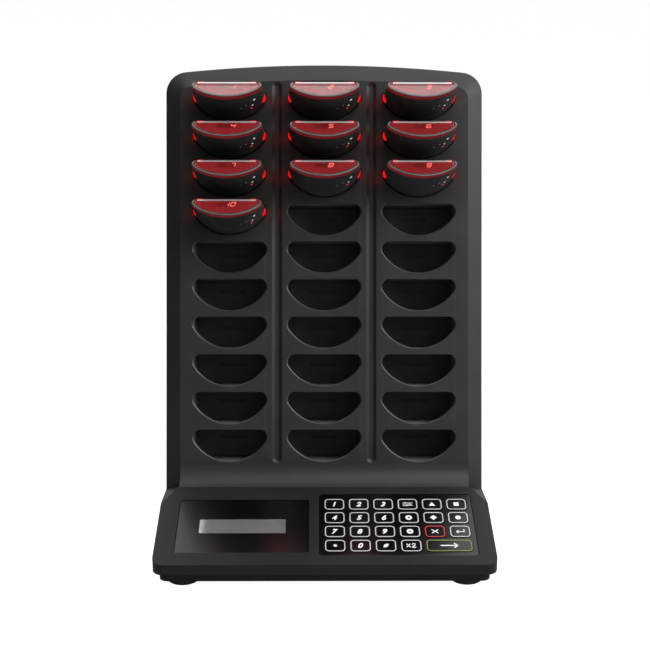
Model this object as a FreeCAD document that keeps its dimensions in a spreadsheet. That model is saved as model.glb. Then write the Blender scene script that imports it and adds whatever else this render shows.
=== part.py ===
import FreeCAD, Part
import math
import os
import re
import Sketcher
from FreeCAD import Placement, Rotation, Vector

"""Guest pager system: a desk transmitter whose leaning tower holds pagers in D-shaped slots.

Millimetres and degrees. +Z is up, the customer side faces -Y and the origin lies on the table,
in the middle of the footprint. Three frames place the pieces: "base" starts at the middle of the
deck's front edge on the table, "deck" lies on the sloping deck with its second axis running up the
slope, and "panel" lies on the slot panel with its second axis running up the tower and its third
axis pointing at the customer.
"""

SIZES = {
    # the whole body
    "body_width": 250,
    "body_depth": 244,
    "lip_top": 20,
    "lip_bottom": 11.8,
    "seam_height": 33,
    "front_corner": 8,
    "rear_corner": 12,
    "base_wall": 4.2,
    # the sloping deck, and the diagonal cuts of its rear corners
    "deck_slope": 15,
    "deck_skin": 3,
    "deck_run": 96.1,
    "facet_start": 66.6,
    "facet_floor": 29,
    # the tower
    "rear_room": 9.432,
    "panel_lean": "=asin(tower_run/tower_reach)/1deg - atan(board_back/top_slot)/1deg",
    "panel_skin": 3,
    "side_wall": 2.5,
    "shell_depth": 20,
    "foot_radius": 20,
    "rim_across": 11.8,
    "rim_over": 13.5,
    "rim_fall": 8,
    "rim_step": 1,
    "crown_height": 325.8,
    "crown_radius": 1090,
    "outer_shoulder": 15,
    "inner_shoulder": 8.5,
    # the slots and the two grooves between their columns
    "slot_width": 57.5,
    "slot_height": 24.5,
    "slot_corner": 6,
    "slot_rows": 10,
    "lowest_slot": 37.7,
    "crown_margin": 21.7,
    "top_slot": "=crown_height - crown_margin",
    "slot_pitch": "=(top_slot - lowest_slot)/(slot_rows - 1)",
    "slot_columns": 3,
    "column_share": 0.3273,
    "column_pitch": "=(body_width - 2*rim_across)*column_share",
    "groove_share": 0.4458,
    "groove_width": "=(column_pitch - slot_width)*groove_share",
    "floor_share": 0.4054,
    "groove_floor": "=groove_width*floor_share",
    "groove_depth": 1.8,
    "groove_bottom": 11.7,
    "groove_margin": 14.8,
    "groove_top": "=crown_height - groove_margin",
    # the pocket racks and the charging board behind them
    "rack_share": 0.271,
    "rack_width": "=slot_width + (column_pitch - slot_width)*rack_share",
    "rack_depth": 43,
    "rack_margin": 1.2,
    "rack_corner": 3,
    "pocket_floor": 2,
    "board_skin": 1.6,
    "charge_width": "=column_pitch*(slot_columns - 1) + slot_width",
    "board_back": "=panel_skin + rack_depth + board_skin",
    "tower_run": "=body_depth - side_wall - rear_room - deck_run*cos(deck_slope)",
    "tower_reach": "=sqrt(top_slot^2 + board_back^2)",
    "contact_gap": 14,
    "contact_width": 3,
    "contact_skin": 1.2,
    "contact_drop": 9,
    "contact_room": 0.6,
    # the pagers
    "pager_gap": 0.4,
    "pager_inside": 43.5,
    "pager_reach": 33,
    "nose_reach": 46,
    "nose_taper": 3.25,
    "nose_width": "=slot_width - 2*nose_taper",
    "nose_height": 14,
    "nose_corner": 4.5,
    "lens_thick": 3.5,
    "light_start": 0.6,
    "light_length": 4.5,
    "light_skin": 1.4,
    "light_inner": 21,
    "pager_count": 10,
    # the display window and the display
    "window_side": 15,
    "window_left": "=window_side - body_width/2",
    "window_right": -12,
    "window_bottom": 13.1,
    "window_top": 70,
    "window_corner": 2,
    "glass_thick": 2,
    "glass_sink": 0.2,
    "glass_gap": 0.3,
    "display_shift": 0.4,
    "display_across": "=(window_left + window_right)/2 - display_shift",
    "display_up": 41,
    "display_frame_width": 71.2,
    "display_frame_height": 25.2,
    "display_thick": 6,
    "display_board_width": 80,
    "display_board_height": 36,
    "display_view_width": 64.5,
    "display_view_height": 15,
    "display_view_depth": 0.8,
    # the keypad
    "bezel_left": -4,
    "bezel_side": 13,
    "bezel_right": "=body_width/2 - bezel_side",
    "bezel_bottom": 9.5,
    "bezel_top": 76.4,
    "bezel_ledge": 2.2,
    "bezel_corner": 3,
    "key_web": 3.6,
    "key_width": "=key_step - key_web",
    "key_height": 12.1,
    "key_corner": 3,
    "key_inset": 11.5,
    "key_columns": 6,
    "key_across": "=bezel_left + key_inset",
    "key_up": 19.6,
    "key_step": "=(bezel_right - bezel_left - 2*key_inset)/(key_columns - 1)",
    "key_rise": 15.05,
    "key_gap": 0.3,
    "key_proud": 0.5,
    "key_edge": 0.35,
    "key_travel": 0.5,
    "flange_margin": 0.8,
    "flange_thick": 0.9,
    "flange_gap": 0.1,
    "stem_radius": 2,
    "stem_length": 1,
    # the main board and its push switches
    "board_depth": 7.4,
    "board_left": -10,
    "board_trim": 4.5,
    "board_right": "=bezel_right - board_trim",
    "board_bottom": 7,
    "board_top": 79.6,
    "switch_side": 6,
    "switch_height": 1.9,
    "switch_rest": 0.1,
    "plunger_radius": 1.5,
    "boss_radius": 2,
    "boss_inset": 2.4,
    # the base plate, its screws and the feet
    "plate_inset": 4.5,
    "plate_bottom": 4.3,
    "plate_skin": 2.5,
    "plate_corner": 6,
    "ledge_width": 8,
    "ledge_skin": 2.2,
    "foot_pad_radius": 11,
    "foot_pad_side": 24,
    "foot_pad_across": "=body_width/2 - foot_pad_side",
    "foot_pad_front": 22,
    "foot_pad_rear": 26,
    "foot_edge": 1,
    "post_side": 9,
    "post_margin": 12,
    "post_across": "=body_width/2 - post_margin",
    "post_inset": 13.2,
    "post_height": 5.4,
    "screw_radius": 1.5,
    "screw_head": 2.8,
    "screw_head_height": 1.9,
    "screw_sink": 3,
    "screw_length": 9,
    "screw_room": 0.2,
    # the radio module and the power inlet
    "radio_margin": 55,
    "radio_across": "=radio_margin - body_width/2",
    "radio_rear": 49,
    "radio_back": "=body_depth - radio_rear",
    "radio_width": 62,
    "radio_depth": 44,
    "can_inset": 5,
    "can_height": 5,
    "standoff_height": 3,
    "aerial_radius": 3.2,
    "aerial_height": 74,
    "inlet_margin": 47,
    "inlet_across": "=body_width/2 - inlet_margin",
    "inlet_height": 22,
    "inlet_radius": 5.5,
    "inlet_flange": 7,
    "inlet_flange_skin": 1.6,
    "inlet_length": 16,
    "inlet_bore": 2.8,
    "inlet_bore_depth": 10,
    "inlet_pin": 1.05,
}

doc = FreeCAD.newDocument("GuestPagerSystem")
sheet = doc.addObject("Spreadsheet::Sheet", "Sizes")
for row, (alias, number) in enumerate(SIZES.items(), start=1):
    sheet.set(f"A{row}", "0")
    sheet.setAlias(f"A{row}", alias)
for row, number in enumerate(SIZES.values(), start=1):
    sheet.set(f"A{row}", str(number))
doc.recompute()

# Places that several pieces share, as formulas of the sizes.
CORNER_BACK = "deck_run*cos(deck_slope)"
CORNER_HEIGHT = "(lip_top + deck_run*sin(deck_slope))"
FOOT_RUN = "foot_radius*tan(45 - panel_lean/2 - deck_slope/2)"
DECK_END = f"(deck_run - {FOOT_RUN})"
SLOT_BOTTOM = "(top_slot - slot_pitch*(slot_rows - 1) - slot_height)"
RACK_BACK = "(panel_skin + rack_depth)"
GLASS_FLOOR = "(glass_sink + glass_thick)"
FRAMES = {
    "base": ("0 - body_depth/2", "0", "0"),
    "deck": ("0 - body_depth/2", "lip_top", "deck_slope"),
    "panel": (f"{CORNER_BACK} - body_depth/2", CORNER_HEIGHT, "(90 - panel_lean)"),
}


def bound(formula):
    """Point every size name in a formula at its cell of the sheet."""
    return re.sub(r"[a-z]+(_[a-z]+)+", lambda word: f"Sizes.{word.group()}", formula)


def size(formula):
    """The present value of a formula."""
    result = sheet.evalExpression(bound(formula))
    return float(getattr(result, "Value", result))


def place(piece, frame, across="0", up="0", out="0"):
    """Bind a piece's Placement to a point of one of the frames and to the frame's turn."""
    back, height, turn = FRAMES[frame]
    piece.Placement = Placement(Vector(0, 0, 0), Rotation(Vector(1, 0, 0), 1))
    piece.setExpression("Placement.Base.x", bound(across))
    piece.setExpression(
        "Placement.Base.y", bound(f"{back} + ({up})*cos({turn}) - ({out})*sin({turn})")
    )
    piece.setExpression(
        "Placement.Base.z", bound(f"{height} + ({up})*sin({turn}) + ({out})*cos({turn})")
    )
    piece.setExpression("Placement.Rotation.Angle", bound(turn))


def add_body(label, frame=None, across="0", up="0", out="0"):
    """A new PartDesign body placed in a frame, or left at the origin as a form for copies."""
    body = doc.addObject("PartDesign::Body", label)
    if frame:
        place(body, frame, across, up, out)
    return body


def add_sketch(body, name, offset="0", plane="XY_Plane"):
    """A sketch on one of the body's own origin planes, moved along the plane's normal."""
    sketch = body.newObject("Sketcher::SketchObject", name)
    origin = next(item for item in body.Origin.OriginFeatures if item.Role == plane)
    sketch.AttachmentSupport = [(origin, "")]
    sketch.MapMode = "FlatFace"
    sketch.setExpression("AttachmentOffset.Base.z", bound(offset))
    return sketch


def arc_between(start, end, radius):
    """The shorter arc between two points, bulging outwards, or inwards where radius is negative.

    Returns the arc and which of its ends lies at start and which at end.
    """
    chord = end - start
    rise = math.sqrt(max(radius**2 - (chord.Length / 2) ** 2, 0.0))
    left = Vector(-chord.y, chord.x, 0).normalize()
    centre = (start + end) * 0.5 + left * math.copysign(rise, radius)
    first, last = (start, end) if radius > 0 else (end, start)
    angles = [math.atan2(point.y - centre.y, point.x - centre.x) for point in (first, last)]
    circle = Part.Circle(centre, Vector(0, 0, 1), abs(radius))
    return Part.ArcOfCircle(circle, *angles), (1, 2) if radius > 0 else (2, 1)


def draw(sketch, corners, arcs=None):
    """Draw a closed outline counter-clockwise and bind every corner and radius to its formula.

    corners holds (across, up) formulas, and arcs the radius formula of each edge that isn't
    straight, by the edge's number; it starts with a minus sign where the edge bends inwards.
    """
    arcs = arcs or {}
    first = sketch.GeometryCount
    points = [Vector(size(across), size(up), 0) for across, up in corners]
    ends = []
    for index, start in enumerate(points):
        end = points[(index + 1) % len(points)]
        edge, sides = Part.LineSegment(start, end), (1, 2)
        if index in arcs:
            edge, sides = arc_between(start, end, size(arcs[index]))
        sketch.addGeometry(edge)
        ends.append(sides)
    ties = []
    for index, sides in enumerate(ends):
        following = (index + 1) % len(ends)
        joint = (first + index, sides[1], first + following, ends[following][0])
        ties.append((Sketcher.Constraint("Coincident", *joint), None))
    for index, corner in enumerate(corners):
        for kind, formula in zip(("DistanceX", "DistanceY"), corner):
            span = (-1, 1, first + index, ends[index][0], size(formula))
            ties.append((Sketcher.Constraint(kind, *span), formula))
    for index, radius in arcs.items():
        length = radius.lstrip("-")
        ties.append((Sketcher.Constraint("Radius", first + index, size(length)), length))
    bind(sketch, ties)


def bind(sketch, ties):
    """Add constraints to a sketch in one go and bind those that have a formula to it."""
    numbers = sketch.addConstraint([constraint for constraint, _ in ties])
    for number, (_, formula) in zip(numbers, ties):
        if formula:
            sketch.setExpression(f"Constraints[{number}]", bound(formula))


def draw_circle(sketch, across, up, radius):
    """Draw a circle whose centre and radius are bound to formulas."""
    number = sketch.GeometryCount
    centre = Vector(size(across), size(up), 0)
    sketch.addGeometry(Part.Circle(centre, Vector(0, 0, 1), size(radius)))
    ties = [
        (Sketcher.Constraint("DistanceX", -1, 1, number, 3, centre.x), across),
        (Sketcher.Constraint("DistanceY", -1, 1, number, 3, centre.y), up),
        (Sketcher.Constraint("Radius", number, size(radius)), radius),
    ]
    bind(sketch, ties)


def draw_box(sketch, left, bottom, right, top):
    """Draw a rectangle with sharp corners."""
    draw(sketch, [(left, bottom), (right, bottom), (right, top), (left, top)])


def draw_rounded(sketch, left, bottom, right, top, radius):
    """Draw a rectangle with four equal round corners."""
    corners = [
        (f"{left} + {radius}", bottom),
        (f"{right} - {radius}", bottom),
        (right, f"{bottom} + {radius}"),
        (right, f"{top} - {radius}"),
        (f"{right} - {radius}", top),
        (f"{left} + {radius}", top),
        (left, f"{top} - {radius}"),
        (left, f"{bottom} + {radius}"),
    ]
    draw(sketch, corners, {1: radius, 3: radius, 5: radius, 7: radius})


def draw_stadium(sketch, across, bottom, top, width):
    """Draw an upright slot with half-round ends; each end is two quarter arcs."""
    half = f"{width}/2"
    corners = [
        (across, bottom),
        (f"{across} + {half}", f"{bottom} + {half}"),
        (f"{across} + {half}", f"{top} - {half}"),
        (across, top),
        (f"{across} - {half}", f"{top} - {half}"),
        (f"{across} - {half}", f"{bottom} + {half}"),
    ]
    draw(sketch, corners, {0: half, 2: half, 3: half, 5: half})


def draw_half_moon(sketch, width, height, corner, across="0", top="0"):
    """Draw a D lying on its back: flat top, round upper corners and one large arc below."""
    span = f"(({width})/2 - {corner})"
    bow = f"(({span}^2/(({height}) - 2*{corner}) + ({height}))/2)"
    reach = f"{bow}/({bow} - {corner})"
    drop = f"({bow} - ({height}) + (({height}) - {bow} - {corner})*{reach})"
    corners = [
        (f"{across} + {span}", top),
        (f"{across} - {span}", top),
        (f"{across} - {span}*{reach}", f"{top} + {drop}"),
        (f"{across} + {span}*{reach}", f"{top} + {drop}"),
    ]
    draw(sketch, corners, {1: corner, 2: bow, 3: corner})


def draw_arched(sketch, half_width, bottom, crown, shoulder):
    """Draw the tower's outline: upright sides, round shoulders and a gently arched top."""
    centre = f"({crown} - crown_radius)"
    rise = f"sqrt((crown_radius - {shoulder})^2 - ({half_width} - {shoulder})^2)"
    reach = f"crown_radius/(crown_radius - {shoulder})"
    spring = f"({half_width} - {shoulder})*{reach}"
    corners = [
        (f"0 - {half_width}", bottom),
        (half_width, bottom),
        (half_width, f"{centre} + {rise}"),
        (spring, f"{centre} + {rise}*{reach}"),
        (f"0 - {spring}", f"{centre} + {rise}*{reach}"),
        (f"0 - {half_width}", f"{centre} + {rise}"),
    ]
    draw(sketch, corners, {2: shoulder, 3: "crown_radius", 4: shoulder})


def pad(body, sketch, name, length):
    """Raise a sketch along its plane's normal."""
    feature = body.newObject("PartDesign::Pad", name)
    feature.Profile = sketch
    feature.setExpression("Length", bound(length))
    return feature


def pocket(body, sketch, name, length):
    """Cut a sketch into the body, against its plane's normal."""
    feature = body.newObject("PartDesign::Pocket", name)
    feature.Profile = sketch
    feature.setExpression("Length", bound(length))
    return feature


def loft(body, kind, name, first, second):
    """Add or cut the straight-sided loft between two sketches."""
    feature = body.newObject(f"PartDesign::{kind}Loft", name)
    feature.Profile = first
    feature.Sections = [second]
    feature.Ruled = True
    return feature


def repeat(body, features, name, across=None, up=None):
    """Repeat features in rows and columns; across and up are (count, distance) formulas."""
    axes = {item.Role: item for item in body.Origin.OriginFeatures}
    pattern = body.newObject("PartDesign::LinearPattern", name)
    pattern.Originals = features
    steps = [("X_Axis", across), ("Y_Axis", up)]
    steps = [(role, step) for role, step in steps if step]
    for suffix, (role, (count, distance)) in zip(("", "2"), steps):
        setattr(pattern, f"Direction{suffix}", (axes[role], [""]))
        pattern.setExpression(f"Occurrences{suffix}", bound(count))
        pattern.setExpression(f"Length{suffix}", bound(f"({distance})*({count} - 1)"))
    body.Tip = pattern
    return pattern


def combine(kind, label, base, tool):
    """A Part::Cut or Part::Common of two objects."""
    result = doc.addObject(f"Part::{kind}", label)
    result.Base = base
    result.Tool = tool
    return result


def gather(kind, label, members):
    """A Part::MultiFuse or Part::Compound of several objects."""
    result = doc.addObject(f"Part::{kind}", label)
    setattr(result, "Shapes" if kind == "MultiFuse" else "Links", members)
    return result


def copy_of(form, label, frame, across="0", up="0", out="0"):
    """One of several equal pieces: the form's own solids, placed in a frame."""
    piece = doc.addObject("Part::Feature", label)
    piece.Shape = form.Shape.copy()
    place(piece, frame, across, up, out)
    return piece


# ---------------------------------------------------------------- the tower

SKIRT = "0 - shell_depth*2"


def seam_line(out):
    """Distance up the panel at which the seam between tower and base passes, for a depth."""
    return f"(seam_height - {CORNER_HEIGHT} - ({out})*sin(panel_lean))/cos(panel_lean)"


def tower_block(body, depth):
    """The tower's outer form in front of a depth: bevelled block, hollow foot, level lower end."""
    half = "body_width/2"
    back = add_sketch(body, f"{body.Name}_back", f"0 - ({depth})")
    draw_arched(back, half, SKIRT, "crown_height", "outer_shoulder")
    pad(body, back, f"{body.Name}_skirt", f"{depth} - rim_fall")
    outer = add_sketch(body, f"{body.Name}_outer", "0 - rim_fall")
    draw_arched(outer, half, SKIRT, "crown_height", "outer_shoulder")
    inner = add_sketch(body, f"{body.Name}_inner")
    draw_arched(inner, f"({half} - rim_across)", SKIRT, "(crown_height - rim_over)", "inner_shoulder")
    loft(body, "Additive", f"{body.Name}_rim", outer, inner)
    turn = "(panel_lean + deck_slope)"
    foot = add_sketch(body, f"{body.Name}_foot", f"0 - ({half} - rim_across)", "YZ_Plane")
    tip_up, tip_out = f"0 - {FOOT_RUN}*sin({turn})", f"{FOOT_RUN}*cos({turn})"
    corners = [
        (f"0 - deck_skin/cos({turn})", "0"),
        (FOOT_RUN, "0"),
        (tip_up, tip_out),
        (f"{tip_up} - deck_skin*cos({turn})", f"{tip_out} - deck_skin*sin({turn})"),
    ]
    draw(foot, corners, {1: "-foot_radius"})
    pad(body, foot, f"{body.Name}_curve", "body_width - 2*rim_across")
    front, rear = "shell_depth", f"0 - ({depth}) - 1"
    seam = add_sketch(body, f"{body.Name}_seam", "body_width/2 + 1", "YZ_Plane")
    corners = [
        (seam_line(front), front),
        (seam_line(rear), rear),
        (f"{SKIRT} - 200", rear),
        (f"{SKIRT} - 200", front),
    ]
    draw(seam, corners[::-1])
    pocket(body, seam, f"{body.Name}_level", "body_width + 2")


def make_tower_front():
    """Front moulding of the tower: slot panel, grooves, bevelled rim and hollow foot."""
    body = add_body("tower_front", "panel")
    tower_block(body, "shell_depth")
    half, step = "body_width/2", "(rim_fall + 2)"
    room = ("(crown_height - side_wall)", "(outer_shoulder - side_wall)")
    deep = add_sketch(body, "front_room_deep", f"0 - {step}")
    draw_arched(deep, f"({half} - side_wall)", f"{SKIRT} - 1", *room)
    pocket(body, deep, "front_room", f"shell_depth - {step} + 1")
    wide = add_sketch(body, "front_room_wide", f"0 - {step}")
    draw_arched(wide, f"({half} - side_wall)", f"{SKIRT} - 1", *room)
    tight = add_sketch(body, "front_room_tight", "0 - panel_skin")
    narrow = f"({half} - rim_across - rim_step)"
    top = "(crown_height - rim_over - rim_step)"
    draw_arched(tight, narrow, f"{SKIRT} - 1", top, "(inner_shoulder - rim_step)")
    loft(body, "Subtractive", "front_room_taper", wide, tight)
    groove_mouth = add_sketch(body, "groove_mouth")
    draw_stadium(groove_mouth, "0 - column_pitch/2", "groove_bottom", "groove_top", "groove_width")
    groove_bed = add_sketch(body, "groove_bed", "0 - groove_depth")
    inset = "(groove_width - groove_floor)/2"
    draw_stadium(
        groove_bed,
        "0 - column_pitch/2",
        f"(groove_bottom + {inset})",
        f"(groove_top - {inset})",
        "groove_floor",
    )
    groove = loft(body, "Subtractive", "groove", groove_mouth, groove_bed)
    repeat(body, [groove], "grooves", across=("slot_columns - 1", "column_pitch"))
    slot = add_sketch(body, "slot_outline")
    draw_half_moon(
        slot,
        "slot_width",
        "slot_height",
        "slot_corner",
        "0 - column_pitch*(slot_columns - 1)/2",
        "(top_slot - slot_pitch*(slot_rows - 1))",
    )
    opening = pocket(body, slot, "slot", "panel_skin")
    columns, rows = ("slot_columns", "column_pitch"), ("slot_rows", "slot_pitch")
    repeat(body, [opening], "slots", across=columns, up=rows)
    return body


def make_pocket_racks():
    """Three mouldings behind the panel, each a column of flat shelves between two walls."""
    form = add_body("pocket_rack_form")
    block = add_sketch(form, "rack_outline", f"0 - {RACK_BACK}")
    edge, low = "rack_width/2", f"({SLOT_BOTTOM} - rack_margin)"
    draw_rounded(block, f"0 - {edge}", low, edge, "(top_slot + rack_margin)", "rack_corner")
    pad(form, block, "rack_block", "rack_depth")
    lowest = "(top_slot - slot_pitch*(slot_rows - 1))"
    mouth = add_sketch(form, "pocket_outline", "0 - panel_skin")
    draw_box(mouth, "0 - slot_width/2", f"{lowest} - slot_height", "slot_width/2", lowest)
    hollow = pocket(form, mouth, "pager_pocket", "rack_depth - pocket_floor")
    repeat(form, [hollow], "pager_pockets", up=("slot_rows", "slot_pitch"))
    floor = add_sketch(form, "contact_window", f"0 - ({RACK_BACK} - pocket_floor)")
    side = "(contact_gap/2 + contact_width + contact_room)"
    middle = f"({lowest} - contact_drop)"
    reach = "(contact_skin/2 + contact_room)"
    draw_box(floor, f"0 - {side}", f"{middle} - {reach}", side, f"{middle} + {reach}")
    window = pocket(form, floor, "contact_slit", "pocket_floor")
    repeat(form, [window], "contact_slits", up=("slot_rows", "slot_pitch"))
    doc.recompute()
    columns = {"left": "0 - column_pitch", "centre": "0", "right": "column_pitch"}
    return [
        copy_of(form, f"pocket_rack_{side}", "panel", across) for side, across in columns.items()
    ]


def make_charge_board():
    """Board behind the racks with two spring contacts standing into every pocket."""
    body = add_body("charge_board", "panel")
    plate = add_sketch(body, "charge_plate_outline", f"0 - {RACK_BACK} - board_skin")
    edge = "charge_width/2"
    draw_box(plate, f"0 - {edge}", SLOT_BOTTOM, edge, "top_slot")
    pad(body, plate, "charge_plate", "board_skin")
    lowest = "(top_slot - slot_pitch*(slot_rows - 1) - contact_drop)"
    start = "(0 - column_pitch*(slot_columns - 1)/2)"
    for name, side in (("left_contact", "-"), ("right_contact", "+")):
        contact = add_sketch(body, f"{name}_outline", f"0 - {RACK_BACK}")
        middle = f"({start} {side} (contact_gap + contact_width)/2)"
        draw_box(
            contact,
            f"{middle} - contact_width/2",
            f"{lowest} - contact_skin/2",
            f"{middle} + contact_width/2",
            f"{lowest} + contact_skin/2",
        )
        blade = pad(body, contact, name, "pocket_floor + 0.2*contact_skin")
        columns, rows = ("slot_columns", "column_pitch"), ("slot_rows", "slot_pitch")
        repeat(body, [blade], f"{name}s", across=columns, up=rows)
    return body


def make_rear_cover():
    """Rear shell of the tower: the arched outline drawn back to an upright rear wall."""
    depth = "body_depth*1.2"
    solids = []
    for name, wall in (("outer", "0"), ("inner", "side_wall")):
        block = add_body(f"rear_{name}_block", "panel")
        outline = add_sketch(block, f"rear_{name}_outline", f"0 - {depth}")
        half, crown = f"(body_width/2 - {wall})", f"(crown_height - {wall})"
        draw_arched(outline, half, f"{SKIRT} - 200", crown, f"(outer_shoulder - {wall})")
        pad(block, outline, f"rear_{name}_pad", f"{depth} - shell_depth + {wall}")
        room = add_body(f"rear_{name}_room", "base")
        plan = add_sketch(room, f"rear_{name}_plan", f"seam_height - {wall}")
        rear = f"(body_depth - {wall})"
        draw_rounded(plan, f"0 - {half}", "0", half, rear, f"(rear_corner - {wall})")
        pad(room, plan, f"rear_{name}_height", "crown_height*1.2")
        solids.append(combine("Common", f"rear_{name}", block, room))
    return combine("Cut", "rear_cover", *solids)


# ---------------------------------------------------------------- the base


def deck_line(back, below="0"):
    """Height of the deck, or of a line parallel below it, at a distance behind the front edge."""
    return f"(lip_top + ({back})*tan(deck_slope) - ({below})/cos(deck_slope))"


def above_plane(label, points, across, along, reach):
    """A block that stands on the plane through three points, over a rectangle seen from above."""
    first, second, third = points
    normal = (second - first).cross(third - first)

    def on_plane(x, y):
        fall = normal.x * (x - first.x) + normal.y * (y - first.y)
        return Vector(x, y, first.z - fall / normal.z)

    corners = [on_plane(x, y) for x, y in zip(across + across[::-1], sorted(along * 2))]
    base = Part.Face(Part.makePolygon([*corners, corners[0]]))
    piece = doc.addObject("Part::Feature", label)
    piece.Shape = base.extrude(Vector(0, 0, reach))
    return piece


def make_facets():
    """Cutters for the diagonal facets that run from the deck's rear corners to the tower's rim."""
    slope, lean = math.radians(size("deck_slope")), math.radians(size("panel_lean"))
    front, top = size("0 - body_depth/2"), size("lip_top")
    half, inner = size("body_width/2"), size("body_width/2 - rim_across")
    end, start = size(DECK_END), size("facet_start")
    seam, fall = size("seam_height"), size("rim_fall")
    corner = Vector(0, size(CORNER_BACK), size(CORNER_HEIGHT))
    edge = corner + Vector(0, math.cos(lean), -math.sin(lean)) * fall
    foot = front + edge.y + (seam - edge.z) * math.tan(lean)
    cutters = []
    for name, side in (("left", -1), ("right", 1)):
        points = [
            Vector(side * inner, front + end * math.cos(slope), top + end * math.sin(slope)),
            Vector(side * half, front + start * math.cos(slope), top + start * math.sin(slope)),
            Vector(side * half, foot, seam),
        ]
        across = (side * (inner - fall), side * (half + fall))
        cutters.append(above_plane(f"facet_{name}", points, across, (front, foot), seam))
    return cutters


def make_base_shell():
    """Outer form of the base with its hollow: sloping deck, front lip and level rear rim."""
    body = add_body("base_shell", "base")
    half = "body_width/2"
    plan = add_sketch(body, "base_plan", "lip_bottom")
    corners = [
        (f"0 - {half} + front_corner", "0"),
        (f"{half} - front_corner", "0"),
        (half, "front_corner"),
        (half, "body_depth - rear_corner"),
        (f"{half} - rear_corner", "body_depth"),
        (f"0 - {half} + rear_corner", "body_depth"),
        (f"0 - {half}", "body_depth - rear_corner"),
        (f"0 - {half}", "front_corner"),
    ]
    rounds = {1: "front_corner", 3: "rear_corner", 5: "rear_corner", 7: "front_corner"}
    draw(plan, corners, rounds)
    pad(body, plan, "base_block", f"{CORNER_HEIGHT} + 1 - lip_bottom")
    above = add_sketch(body, "deck_profile", f"{half} + 1", "YZ_Plane")
    top = f"{CORNER_HEIGHT} + 5"
    corners = [
        ("0 - 1", deck_line("0 - 1")),
        (CORNER_BACK, CORNER_HEIGHT),
        (CORNER_BACK, "seam_height"),
        ("body_depth + 1", "seam_height"),
        ("body_depth + 1", top),
        ("0 - 1", top),
    ]
    draw(above, corners)
    pocket(body, above, "deck_cut", "body_width + 2")
    mouth = add_sketch(body, "base_mouth_plan", "lip_bottom + ledge_skin")
    ledge = f"({half} - ledge_width)"
    draw_box(mouth, f"0 - {ledge}", "ledge_width", ledge, "body_depth - ledge_width")
    pocket(body, mouth, "base_mouth", "ledge_skin + 1")
    low_room = add_sketch(body, "low_room_profile", f"{half} - base_wall", "YZ_Plane")
    shallow = f"((facet_floor - {deck_line('0', 'deck_skin')})/tan(deck_slope))"
    rear, below = "(body_depth - base_wall)", "lip_bottom + ledge_skin"
    corners = [
        ("base_wall", below),
        (rear, below),
        (rear, "facet_floor"),
        (shallow, "facet_floor"),
        ("base_wall", deck_line("base_wall", "deck_skin")),
    ]
    draw(low_room, corners)
    pocket(body, low_room, "low_room", "body_width - 2*base_wall")
    inner = f"({half} - rim_across - side_wall)"
    high_room = add_sketch(body, "high_room_profile", inner, "YZ_Plane")
    end = f"({DECK_END}*cos(deck_slope) + deck_skin*sin(deck_slope))"
    corners = [
        (shallow, "facet_floor - 1"),
        (rear, "facet_floor - 1"),
        (rear, top),
        (end, top),
        (end, deck_line(end, "deck_skin")),
        (shallow, "facet_floor"),
    ]
    draw(high_room, corners)
    pocket(body, high_room, "high_room", f"2*{inner}")
    rear_room = add_sketch(body, "rear_room_plan", "seam_height + 1")
    start = f"({CORNER_BACK} + shell_depth)"
    side = f"({half} - base_wall)"
    draw_box(rear_room, f"0 - {side}", start, side, rear)
    pocket(body, rear_room, "rear_room", "seam_height - facet_floor + 2")
    return body


def make_deck_tools():
    """What is cut into the deck: two recesses with a ledge all round, and the openings in them."""
    body = add_body("deck_tools", "deck")
    recesses = {
        "window": ("window_left", "window_bottom", "window_right", "window_top", "window_corner"),
        "bezel": ("bezel_left", "bezel_bottom", "bezel_right", "bezel_top", "bezel_corner"),
    }
    for name, (left, bottom, right, top, corner) in recesses.items():
        recess = add_sketch(body, f"{name}_recess_outline", f"0 - {GLASS_FLOOR}")
        gap = "glass_gap"
        sides = [f"({left} - {gap})", f"({bottom} - {gap})", f"({right} + {gap})"]
        draw_rounded(recess, *sides, f"({top} + {gap})", f"({corner} + {gap})")
        pad(body, recess, f"{name}_recess", f"{GLASS_FLOOR} + 1")
    depth = "(deck_skin + 2)"
    display = add_sketch(body, "display_hole_outline", f"0 - {depth}")
    half_width, half_height = "(display_frame_width/2 + glass_gap)", "(display_frame_height/2 + glass_gap)"
    draw_box(
        display,
        f"display_across - {half_width}",
        f"display_up - {half_height}",
        f"display_across + {half_width}",
        f"display_up + {half_height}",
    )
    pad(body, display, "display_hole", depth)
    keys = add_sketch(body, "keys_hole_outline", f"0 - {depth}")
    sides = ("bezel_left + bezel_ledge", "bezel_bottom + bezel_ledge")
    draw_box(keys, *sides, "bezel_right - bezel_ledge", "bezel_top - bezel_ledge")
    pad(body, keys, "keys_hole", depth)
    return body


def make_board_bosses():
    """Bosses under the deck that the main board is fastened to."""
    body = add_body("board_bosses", "deck")
    outline = add_sketch(body, "boss_outline", "0 - board_depth")
    draw_circle(outline, "board_left + boss_inset", "board_bottom + boss_inset", "boss_radius")
    boss = pad(body, outline, "boss", "board_depth - deck_skin/2")
    width = "(board_right - board_left - 2*boss_inset)"
    height = "(board_top - board_bottom - 2*boss_inset)"
    repeat(body, [boss], "bosses", across=("3", f"{width}/2"), up=("2", height))
    return body


POST_STEPS = {"across": ("2", "2*post_across"), "up": ("2", "(body_depth - 2*post_inset)")}


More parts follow.
